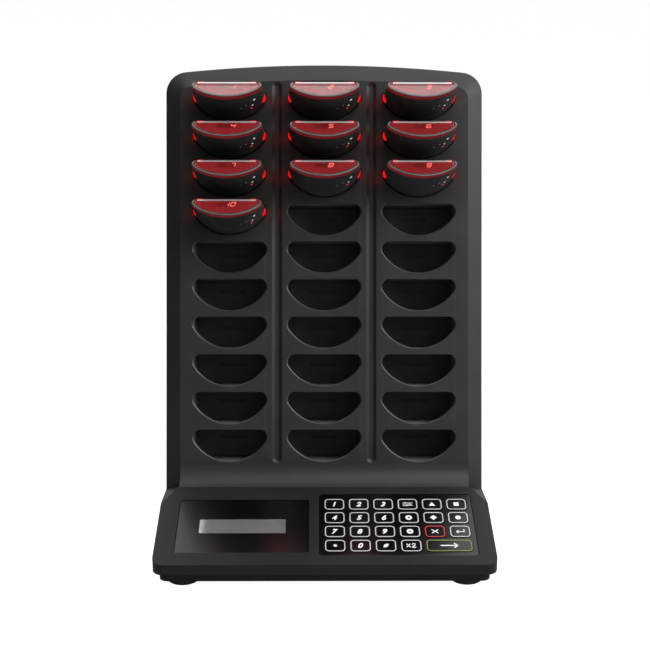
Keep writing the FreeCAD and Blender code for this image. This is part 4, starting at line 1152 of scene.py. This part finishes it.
@dataclass
class Keypad:
    """Twenty-three key caps with printed outlines and legends."""

    first: Point = (7.5, 19.6)
    step: Point = (18.6, 15.05)
    rows: tuple[str, ...] = (
        "star 0 hash double", "7 8 9 ring_b cancel enter", "4 5 6 ring_a f3 f4",
        "1 2 3 setup f1 f2",
    )
    send_column: float = 4.5
    gap: float = 0.3
    top: float = 0.3
    foot: float = -2.3
    edge: float = 0.35
    outline_inset: float = 0.12
    outline_width: float = 0.75
    outline_edge: float = 0.03
    relief: float = 0.06
    legend_lift: float = 0.01
    keys: list[Key] = field(default_factory=list)

    def __post_init__(self) -> None:
        """Lay the keys out, front row first."""
        symbols = {
            "star": Symbol.STAR, "hash": "#", "double": Symbol.DOUBLE, "ring_b": Symbol.RING,
            "cancel": Symbol.CROSS, "enter": Symbol.RETURN, "ring_a": Symbol.RING,
            "f3": Symbol.DIAMOND, "f4": Symbol.DOT, "setup": Symbol.SLIDERS,
            "f1": Symbol.TRIANGLE, "f2": Symbol.SQUARE,
        }
        across, up = self.first
        for row, names in enumerate(self.rows):
            for column, name in enumerate(names.split()):
                place = (across + column * self.step[0], up + row * self.step[1])
                finish = Finishes.RED_PRINT if name == "cancel" else Finishes.PRINT
                self.keys.append(Key(name, *place, symbols.get(name, name), finish))
        across += self.send_column * self.step[0]
        green = Finishes.GREEN_PRINT
        self.keys.append(Key("send", across, up, Symbol.ARROW, green, self.step[0]))

    def cap(self, key: Key) -> Skin:
        """The cap's mesh about its centre: softened edge, printed outline and plain middle."""
        skin = Skin()
        upper, wall = skin.soft_edge(key.outline, self.edge, self.top)
        skin.caps(skin.bridge(wall, skin.ring(key.outline(0.0), self.foot)))
        start, end = self.outline_inset, self.outline_inset + self.outline_width
        raised, soft = self.top + self.relief, self.outline_edge
        rings = [upper] + [
            skin.ring(key.outline(inset), level)
            for inset, level in (
                (start, self.top), (start + soft, raised), (end - soft, raised), (end, self.top)
            )
        ]
        skin.loft(rings, (0, 1, 1, 1))
        skin.caps(rings[-1])
        return skin

    def build(self) -> None:
        """Make every cap and its legend."""
        marks = MarkMaker(self.top + self.legend_lift)
        for key in self.keys:
            body, place = f"key_{key.name}_body", Seat.DECK.place(key.across, key.up)
            finishes = [Finishes.KEY, key.outline_finish]
            node = [f"key_{key.name}"]
            add_piece(f"cap_{key.name}", self.cap(key), finishes, body, "key", place, node)
            name = f"legend_{key.name}"
            mesh = marks.mesh(key.legend, name)
            add_piece(name, mesh, [Finishes.LEGEND], body, "key", place)


@dataclass
class Deck:
    """The deck's glossy display window with the display under it, and the keypad's bezel.

    Display and pane hold an inset from the opening and the depths of their two faces.
    """

    window: Corners = (-110.0, 12.0, -12.0, 70.0)
    window_corner: float = 2.0
    bezel: Corners = (-4.0, 9.5, 112.0, 76.4)
    bezel_corner: float = 3.0
    top: float = -0.2
    thick: float = 2.0
    edge: float = 0.3
    hole_edge: float = 0.12
    view: RoundBox = field(default_factory=lambda: RoundBox(64.5, 15.0, 0.6, 3))
    view_centre: Point = (-61.4, 41.0)
    plate_edge: float = 0.08
    display: Place = (-0.5, 1.25, 1.9)
    pane: Place = (0.02, 0.05, 1.2)

    def add_panel(
        self, name: str, node: str, corners: Corners, corner: float, holes: Sequence[Inset]
    ) -> None:
        """Make a glossy slab with softened edges and softened holes.

        Args:
            name: The piece's name.
            node: The CAD node that it stands for.
            corners: Left, bottom, right and top.
            corner: Radius of the corners.
            holes: Each gives a hole's outline moved inwards.
        """
        left, bottom, right, top = corners
        shape = RoundBox(right - left, top - bottom, corner)
        outline = partial(shape.outline, across=(left + right) / 2, up=(bottom + top) / 2)
        skin, under = Skin(), self.top - self.thick
        upper, wall = skin.soft_edge(outline, self.edge, self.top)
        low = skin.bridge(wall, skin.ring(outline(0.0), under))
        mouths, ends = [], []
        for hole in holes:
            mouth, side = skin.soft_edge(hole, self.hole_edge, self.top, hole=True, steps=2)
            mouths.append(mouth)
            ends.append(skin.bridge(side, skin.ring(hole(0.0), under)))
        skin.fill([upper, *mouths])
        skin.fill([low, *ends])
        place = Seat.DECK.place()
        add_piece(name, skin, [Finishes.GLOSS], "housing", "panel_gloss", place, [node])

    def build(self, keypad: Keypad) -> None:
        """Make the black window, its clear pane, the grey display and the keypad's bezel."""
        opening = partial(self.view.outline, across=self.view_centre[0], up=self.view_centre[1])
        self.add_panel("window_frame", "display_window", self.window, self.window_corner, [opening])
        for name, finish, slot, (inset, upper, lower) in (
            ("display_face", Finishes.DISPLAY, "display", self.display),
            ("window_pane", Finishes.DISPLAY_GLASS, "panel_gloss", self.pane),
        ):
            skin = Skin()
            levels = (self.top - upper, self.top - lower)
            skin.plate(lambda by: opening(by + inset), *levels, self.plate_edge)
            add_piece(name, skin, [finish], "housing", slot, Seat.DECK.place())
        holes = [partial(key.mouth, keypad.gap) for key in keypad.keys]
        self.add_panel("bezel_panel", "keypad_bezel", self.bezel, self.bezel_corner, holes)


# ---------------------------------------------------------------- pagers


SEGMENTS = {
    "0": "abcdef", "1": "bc", "2": "abged", "3": "abgcd", "4": "fgbc",
    "5": "afgcd", "6": "afgedc", "7": "abc", "8": "abcdefg", "9": "abcdfg",
}
SEGMENT_ENDS = {
    "a": ((-1, 1), (1, 1)), "g": ((-1, 0), (1, 0)), "d": ((-1, -1), (1, -1)),
    "b": ((1, 0), (1, 1)), "c": ((1, -1), (1, 0)), "f": ((-1, 0), (-1, 1)),
    "e": ((-1, -1), (-1, 0)),
}


@dataclass
class Pager:
    """A pager: black case, clear slanting lens over a lit plate with digits, and flank lights.

    Each of the dots holds its distance across and out, its finish and its radius. Light holds
    where a flank light starts and ends out of the panel, and its upper and lower limit.
    """

    gap: float = 0.4
    slot: HalfMoon = field(default_factory=HalfMoon)
    inside: float = 43.5
    inside_edge: float = 0.8
    reach: float = 33.0
    nose_reach: float = 46.0
    nose: HalfMoon = field(default_factory=lambda: HalfMoon(51.6, 14.0, 2.9))
    nose_rise: float = 1.0
    case_steps: int = 8
    ledge: float = 0.9
    seat_gap: float = 0.05
    # Dots: painted highlights on the glossy flank; finish 1 glows white, 2 glows red and 3 is pale
    # grey.
    dots: tuple[tuple[float, float, int, float], ...] = (
        (20.3, 24.6, 1, 1.0), (18.6, 17.0, 1, 0.7), (17.8, 12.6, 2, 0.95),
        (14.1, 22.3, 3, 0.42), (9.8, 20.9, 3, 0.42),
    )
    dot_points: int = 14
    dot_profile: tuple[Point, ...] = ((-0.5, 1.0), (0.02, 1.0), (0.1, 0.75))
    dots_below: float = 3.0
    tab: RoundBox = field(default_factory=lambda: RoundBox(3.6, 1.2, 0.5, 3))
    tab_drop: float = 0.3
    tab_depths: Point = (1.2, 4.5)
    tab_edge: float = 0.2
    lens_thick: float = 5.0
    lens_edge: tuple[Point, ...] = ((0.35, 0.0), (0.15, 0.05), (0.02, 0.25))
    top_hem: float = 0.3
    hem_share: float = 0.5
    plate_depth: float = 2.3
    plate_thick: float = 0.6
    plate_gap: float = 0.1
    rim_width: float = 2.2
    rim_height: float = 0.5
    rim_profile: tuple[Point, ...] = (
        (3.8, 1.0), (1.5, 1.0), (0.55, 0.93), (0.15, 0.78), (0.0, 0.55), (0.12, 0.3),
        (0.5, 0.1), (1.1, 0.0),
    )
    # The pale strip and the red glints on the pager's face are painted highlights.
    strip_half: float = 22.2
    strip_profile: tuple[Point, ...] = (
        (-0.3, 0.0), (-0.38, 0.25), (-1.0, 0.42), (-1.85, 0.25), (-1.95, 0.0)
    )
    glint_start: float = 0.8
    glint_profile: tuple[Point, ...] = (
        (0.0, 0.0), (0.0, 0.4), (-0.14, 0.46), (-0.28, 0.3), (-0.28, 0.0)
    )
    light: Corners = (0.6, 11.0, -3.6, -11.2)
    light_thick: float = 1.4
    light_lift: float = 0.25
    light_proud: float = 0.02
    light_steps: int = 12
    light_ends: float = 0.04
    light_fullness: float = 0.45
    digit_height: float = 4.2
    digit_width: float = 3.1
    digit_pitch: float = 4.7
    digit_slant: float = 0.3
    digit_place: Point = (0.2, -4.5)
    digit_stroke: float = 0.36
    digit_gap: float = 0.12
    digit_lift: float = 0.04
    digit_thick: float = 0.1

    def __post_init__(self) -> None:
        """Work out the shank's section and the slant of the face."""
        gap, slot = self.gap, self.slot
        self.section = HalfMoon(slot.width - 2 * gap, slot.height - 2 * gap, slot.corner - gap)
        self.nose_top = self.nose_rise - gap
        self.face_top = self.nose_rise * self.reach / self.nose_reach - gap
        fall = self.face_top - self.nose_top + self.nose.height
        run = self.nose_reach - self.reach
        self.face_up = Vector((0.0, fall, -run)).normalized()
        self.face_out = Vector((0.0, run, fall)).normalized()

    def ends(self, inset: float) -> list[tuple[Vector, Vector]]:
        """Matching points of the case's outline at the panel and at the nose."""
        inner = self.section.outline(inset, 0.0, -self.gap)
        return list(zip(inner, self.nose.outline(inset, 0.0, self.nose_top)))

    def outline(self, out: float, inset: float = 0.0) -> Outline:
        """The case's outline at a distance out of the panel."""
        share = max(out, 0.0) / self.nose_reach
        return [first.lerp(last, share) for first, last in self.ends(inset)]

    def slanted(self, depth: float, inset: float = 0.0) -> list[Vector]:
        """The outline where the case meets the plane parallel to the face, a depth behind it."""
        corner = self.on_face(0.0, 0.0, -depth)
        points = []
        for first, last in self.ends(inset):
            base = Vector((*first, 0.0))
            along = Vector((*last, self.nose_reach)) - base
            share = (corner - base).dot(self.face_out) / along.dot(self.face_out)
            points.append(base + along * share)
        return points

    def on_face(self, across: float, up: float, lift: float) -> Vector:
        """A point of the slanting face: up is measured from its upper edge, so it is negative."""
        corner = Vector((across, self.face_top, self.reach))
        return corner + self.face_up * up + self.face_out * lift

    def case(self) -> Skin:
        """The black case, from its inner end to the plane behind the lens."""
        skin = Skin()
        low, wall = skin.soft_edge(
            partial(self.outline, -self.inside), self.inside_edge, -self.inside, below=True
        )
        skin.caps(low)
        root = skin.bridge(wall, skin.ring(self.outline(0.0), 0.0))
        depth = self.lens_thick + self.seat_gap
        starts, ends = [skin.points[index] for index in root], self.slanted(depth)
        rings = [root]
        for step in range(1, self.case_steps + 1):
            share = step / self.case_steps
            rings.append(skin.trace(first.lerp(last, share) for first, last in zip(starts, ends)))
        rings.append(skin.trace(self.slanted(depth, self.ledge)))
        skin.loft(rings)
        skin.caps(rings[-1])
        for across, out, finish, radius in self.dots:
            self.add_dot(skin, across, out, finish, radius)
        near, far = self.tab_depths
        skin.plate(
            partial(self.tab.outline, across=0.0, up=self.face_top - self.tab_drop),
            self.reach - near, self.reach - far, self.tab_edge,
        )
        return skin

    def add_dot(self, skin: Skin, across: float, out: float, finish: int, radius: float) -> None:
        """Add a small round dot on the lower right flank, square to the flank; the dots are painted
        highlights and a painted red reflection on the glossy case.
        """
        outline, ahead = self.outline(out), self.outline(out + 1.0)
        lowest = -self.gap - self.dots_below
        low = [at for at, point in enumerate(outline) if point.x > 0 and point.y < lowest]
        near = min(low, key=lambda at: abs(outline[at].x - across))
        start, end = outline[near], outline[near + 1]
        share = (across - start.x) / (end.x - start.x)
        touch = start.lerp(end, share)
        along = (end - start).normalized().to_3d()
        forward = Vector((*(ahead[near].lerp(ahead[near + 1], share) - touch), 1.0)).normalized()
        normal = along.cross(forward).normalized()
        normal *= 1 if normal.y < 0 else -1
        forward = normal.cross(along)
        middle = Vector((*touch, out))
        rings = [
            skin.trace(
                middle + normal * lift + (along * spot.x + forward * spot.y) * (size * radius)
                for spot in circle((0, 0), 1.0, self.dot_points)
            )
            for lift, size in self.dot_profile
        ]
        skin.loft(rings, [finish] * len(rings))
        skin.lids(rings, finish)

    def hem(self, depth: float, inset: float) -> list[Vector]:
        """The outline parallel to the face, with a small inset along the straight upper edge."""
        plain = self.slanted(depth, min(inset, self.top_hem))
        wide = self.slanted(depth, inset)
        steps = self.section.corner_steps * self.hem_share
        points = []
        for index, (first, second) in enumerate(zip(plain, wide)):
            share = min(min(index, len(plain) - 1 - index) / steps, 1.0)
            points.append(first.lerp(second, share * share * (3 - 2 * share)))
        return points

    def lens(self) -> Skin:
        """The clear lens slab inside the rim."""
        skin, depth = Skin(), self.rim_height
        profile = (*self.lens_edge, (0.0, self.plate_depth - depth - self.plate_gap))
        rings = [
            skin.trace(self.hem(depth + lower, self.rim_width + more)) for more, lower in profile
        ]
        skin.loft(rings)
        skin.caps(rings[0], rings[-1])
        return skin

    def rim(self) -> Skin:
        """The rounded grey rim round the lens and the deep red wall below it."""
        skin = Skin()
        rings = [
            skin.trace(self.hem(self.rim_height * deep, self.rim_width * share))
            for deep, share in self.rim_profile
        ]
        skin.loft(rings)
        foot = skin.trace(self.slanted(self.lens_thick))
        inside = skin.trace(self.hem(self.lens_thick, self.rim_width))
        skin.loft([rings[-1], foot, inside, rings[0]], (1, 1, 1))
        return skin

    def strip(self) -> Skin:
        """A pale strip below the face's upper edge, a painted highlight of the lens edge, and red
        glowing bits over its ends, painted glints.
        """
        skin, half = Skin(), self.strip_half
        start = self.glint_start * half
        for left, right, profile, finish in (
            (-half, half, self.strip_profile, 0),
            (-half, -start, self.glint_profile, 1),
            (start, half, self.glint_profile, 1),
        ):
            rows = [
                skin.trace(
                    self.on_face(across, up, lift - self.rim_height) for across in (left, right)
                )
                for up, lift in profile
            ]
            for first, second in zip(rows, rows[1:] + rows[:1]):
                skin.face((*first, *reversed(second)), finish)
            for side in (0, 1):
                skin.face([row[side] for row in rows], finish)
        return skin

    def lit_plate(self, number: int) -> Skin:
        """The lit plate under the lens with three digits, of which the last ones are on.

        Args:
            number: The pager's number.

        Returns:
            The mesh: finish 0 is the plate, 1 a lit segment and 2 a dark one.
        """
        skin, level = Skin(), self.plate_depth
        depths = (level, level + self.plate_thick)
        rings = [skin.trace(self.hem(depth, self.rim_width)) for depth in depths]
        skin.loft(rings)
        skin.caps(*rings)
        shift, rise = self.digit_place
        for place, sign in enumerate(f"{number:>3}"):
            across = (place - 1) * self.digit_pitch + shift
            lit = SEGMENTS.get(sign, "")
            for name, outline in self.segments():
                rings = [
                    skin.trace(
                        self.on_face(across + x + self.digit_slant * y, rise + y, lift - level)
                        for x, y in outline
                    )
                    for lift in (self.digit_lift, self.digit_lift - self.digit_thick)
                ]
                finish = 1 if name in lit else 2
                skin.bridge(*rings, finish)
                skin.lids(rings, finish)
        return skin

    def segments(self) -> list[tuple[str, Outline]]:
        """The seven bars of a digit about its centre."""
        half, rise = self.digit_width / 2, self.digit_height / 2
        bars = []
        for name, ends in SEGMENT_ENDS.items():
            start, end = (Vector((x * half, y * rise)) for x, y in ends)
            along = (end - start).normalized()
            run, side = along * self.digit_stroke, along.orthogonal() * self.digit_stroke
            start, end = start + along * self.digit_gap, end - along * self.digit_gap
            bars.append((name, [
                start, start + run - side, end - run - side,
                end, end - run + side, start + run + side,
            ]))
        return bars

    def flank_lights(self) -> Skin:
        """The two lit lozenges that wrap the flanks just in front of the panel."""
        skin, steps = Skin(), self.light_steps
        start, end, high, low = self.light
        for side in (-1, 1):
            chosen = [
                index for index, point in enumerate(self.outline(start))
                if side * point.x > 0 and low < point.y < high
            ]
            rings = []
            for step in range(steps + 1):
                turn = math.pi * (self.light_ends + (1 - 2 * self.light_ends) * step / steps)
                reach = (start + end) / 2 - (end - start) / 2 * math.cos(turn)
                spread = math.sin(turn) ** self.light_fullness
                wall, deep = (
                    [self.outline(reach, inset)[index] for index in chosen]
                    for inset in (-self.light_proud, self.light_thick)
                )
                front, back = [], []
                for part in range(steps + 1):
                    share = 2 * part / steps - 1
                    spot = (0.5 + 0.5 * share * spread) * (len(chosen) - 1)
                    near = min(int(spot), len(chosen) - 2)
                    surface, inner = (
                        line[near].lerp(line[near + 1], spot - near) for line in (wall, deep)
                    )
                    lift = self.light_lift * (1 - share**4) * spread
                    front.append(surface + (surface - inner).normalized() * lift)
                    back.append(inner)
                rings.append(skin.ring(front + back[::-1], reach))
            skin.loft(rings)
            skin.lids(rings)
        return skin

    def build(self, tower: Tower, count: int = 10) -> None:
        """Make the pagers and put them into the upper slots."""
        # Finishes 1 to 3 are the flank dots, painted highlights.
        case = [Finishes.CASE, Finishes.DOT, Finishes.RED_REFLECTION_DOT, Finishes.PRINT]
        shared = {
            "case": (self.case(), case),
            "lens": (self.lens(), [Finishes.LENS]),
            "rim": (self.rim(), [Finishes.RIM, Finishes.WALL]),
            "strip": (self.strip(), [Finishes.HIGHLIGHT_STRIP, Finishes.FLANK]),
            "lights": (self.flank_lights(), [Finishes.FLANK]),
        }
        meshes = {name: skin.mesh(f"pager_{name}") for name, (skin, _) in shared.items()}
        plate = [Finishes.GLOW, Finishes.DIGIT, Finishes.GHOST]
        for number, (across, top) in enumerate(tower.slot_places()[:count], start=1):
            body, place = f"pager_{number:02d}", Seat.PANEL.place(across, top)
            replaces = {"case": [f"{body}_case"], "lens": [f"{body}_window"]}
            for name, (_, finishes) in shared.items():
                slot = "pager_case" if name == "case" else "pager_window"
                node = replaces.get(name, [])
                add_piece(f"{body}_{name}_shown", meshes[name], finishes, body, slot, place, node)
            name = f"{body}_plate_shown"
            add_piece(name, self.lit_plate(number), plate, body, "pager_window", place)


# ---------------------------------------------------------------- feet and CAD parts


@dataclass
class Feet:
    """Four turned rubber feet, each with a screw hole in its underside.

    The profile holds shares of the radius and of the height; hole_rise is a share of the height.
    """

    across: float = 103.8
    places: Point = (18.0, 219.0)
    radius: float = 13.0
    hole: float = 3.6
    hole_rise: float = 0.6
    height: float = 4.6
    points: int = 48
    profile: tuple[Point, ...] = (
        (1.0, 1.0), (1.0, 0.36), (0.985, 0.2), (0.94, 0.07), (0.87, 0.0), (0.42, 0.0), (0.4, 0.08)
    )

    def build(self) -> None:
        """Turn the feet and put them in the place of their CAD node."""
        skin = Skin()
        profile = (*self.profile, (self.hole / self.radius, self.hole_rise))
        for centre in ((side * self.across, back) for side in (-1, 1) for back in self.places):
            rings = [
                skin.ring(circle(centre, share * self.radius, self.points), rise * self.height)
                for share, rise in profile
            ]
            skin.loft(rings)
            skin.caps(rings[0], rings[-1])
        place = Seat.TABLE.place()
        add_piece("feet_shown", skin, [Finishes.FEET], "housing", "feet", place, ["rubber_feet"])


def dress_cad() -> None:
    """Give every CAD node that stays visible its finish and its edge."""
    sides = ("left", "centre", "right")
    for part in (
        CadPart("base_housing", Finishes.DECK, 0.7, 20.0, 3),
        CadPart("rear_cover", Finishes.HOUSING, 0.8, 20.0, 3),
        CadPart("base_plate", Finishes.COVER, 0.4),
        CadPart("case_screws", Finishes.SCREW, 0.2),
        CadPart("dc_jack", Finishes.INLET, 0.3),
        CadPart("charge_board", Finishes.MASK, 0.0),
        CadPart("main_board", Finishes.BOARD, 0.1),
        CadPart("radio_module", Finishes.SHIELD, 0.2),
        CadPart("key_switches", Finishes.SWITCH, 0.1),
        CadPart("lcd_module", Finishes.PRINT, 0.1),
        *(CadPart(f"pocket_rack_{side}", Finishes.RACK, 0.3) for side in sides),
    ):
        part.dress()


# ---------------------------------------------------------------- studio


@dataclass(frozen=True)
class Lamp:
    """A square soft lamp that looks at a point."""

    name: str
    place: Place
    size: float
    power: float
    target: Place = (0.0, 0.0, 0.18)

    def hang(self) -> None:
        """Put the lamp into the scene."""
        data = bpy.data.lights.new(self.name, "AREA")
        data.shape, data.size, data.energy = "SQUARE", self.size, self.power
        lamp = add_object(self.name, data)
        lamp.location = self.place
        lamp.rotation_mode = "QUATERNION"
        view = Vector(self.target) - Vector(self.place)
        lamp.rotation_quaternion = view.to_track_quat("-Z", "Y")


@dataclass
class Studio:
    """Floor, world, lamps and camera."""

    camera_place: Place = (-0.0071, -0.8883, 0.4502)
    camera_pitch: float = 72.0
    camera_yaw: float = -0.465
    lens: float = 66.46
    sensor: float = 36.0
    floor_reach: float = 14.0
    floor_glow: float = 0.95
    floor_colour: float = 0.45
    world_light: float = 0.1
    rear_wall: Point = (0.6, 0.95)
    lamps: tuple[Lamp, ...] = (
        Lamp("key_lamp", (1.04, -0.43, 0.9), 1.0, 18.5),
        Lamp("top_lamp", (0.0, 0.42, 1.4), 1.6, 14.0),
        Lamp("front_lamp", (0.36, -0.62, 1.3), 0.7, 5.0, (0.0, -0.03, 0.1)),
        Lamp("fill_lamp", (0.3, -1.7, 0.75), 1.2, 1.3),
    )

    def build_world(self) -> None:
        """A surround that looks white and lights the object softly; gloss mirrors its rear."""
        world = bpy.data.worlds.new("studio_world")
        bpy.context.scene.world = world
        sheet = NodeSheet.blank(world)
        seen = sheet.seen("Glossy")
        heading = sheet.add("SeparateXYZ", {0: sheet.add("TexCoord").outputs["Generated"]})
        wall = sheet.ramp(heading.outputs["Y"], *self.rear_wall)
        mirrored = sheet.maths("MULTIPLY", seen["Glossy"], wall)
        white = sheet.maths("MAXIMUM", seen["PLAIN"], mirrored)
        light = self.world_light
        strength = sheet.maths("MULTIPLY_ADD", white, 1.0 - light, light)
        glow = sheet.add("Background", {"Color": opaque((1.0, 1.0, 1.0)), "Strength": strength})
        sheet.add("OutputWorld", {"Surface": glow.outputs[0]})

    def build_floor(self) -> None:
        """A wide floor that looks white and keeps a soft shadow."""
        reach = self.floor_reach
        mesh = bpy.data.meshes.new("floor")
        corners = [(x * reach, y * reach, 0.0) for x, y in ((-1, -1), (1, -1), (1, 1), (-1, 1))]
        mesh.from_pydata(corners, [], [(0, 1, 2, 3)])
        made = bpy.data.materials.new("floor_white")
        sheet = NodeSheet.blank(made)
        glow = sheet.maths("MULTIPLY", sheet.seen()["PLAIN"], self.floor_glow)
        matte = sheet.add("BsdfDiffuse", {"Color": opaque((self.floor_colour,) * 3)})
        white = sheet.add("Emission", {"Color": opaque((1.0, 1.0, 1.0)), "Strength": glow})
        both = sheet.add("AddShader", {0: matte.outputs[0], 1: white.outputs[0]})
        sheet.add("OutputMaterial", {"Surface": both.outputs[0]})
        mesh.materials.append(made)
        floor = add_object("floor", mesh)

    def build_camera(self) -> None:
        """A camera whose image plane is parallel to the slot panel."""
        data = bpy.data.cameras.new("camera")
        data.lens, data.sensor_width = self.lens, self.sensor
        camera = add_object("camera", data)
        pitch = Matrix.Rotation(math.radians(self.camera_pitch), 4, "X")
        yaw = Matrix.Rotation(math.radians(self.camera_yaw), 4, "Y")
        camera.matrix_world = Matrix.Translation(self.camera_place) @ pitch @ yaw
        bpy.context.scene.camera = camera

    def build(self) -> None:
        """Make the studio."""
        bpy.context.scene.view_settings.view_transform = "Standard"
        self.build_world()
        self.build_floor()
        self.build_camera()
        for lamp in self.lamps:
            lamp.hang()


def main() -> None:
    """Build the studio and every sub-assembly in order."""
    logging.basicConfig(level=logging.INFO, format="%(message)s")
    Studio().build()
    dress_cad()
    tower, keypad = Tower(), Keypad()
    tower.build()
    Feet().build()
    Deck().build(keypad)
    keypad.build()
    Pager().build(tower)


if __name__ == "__main__":
    main()
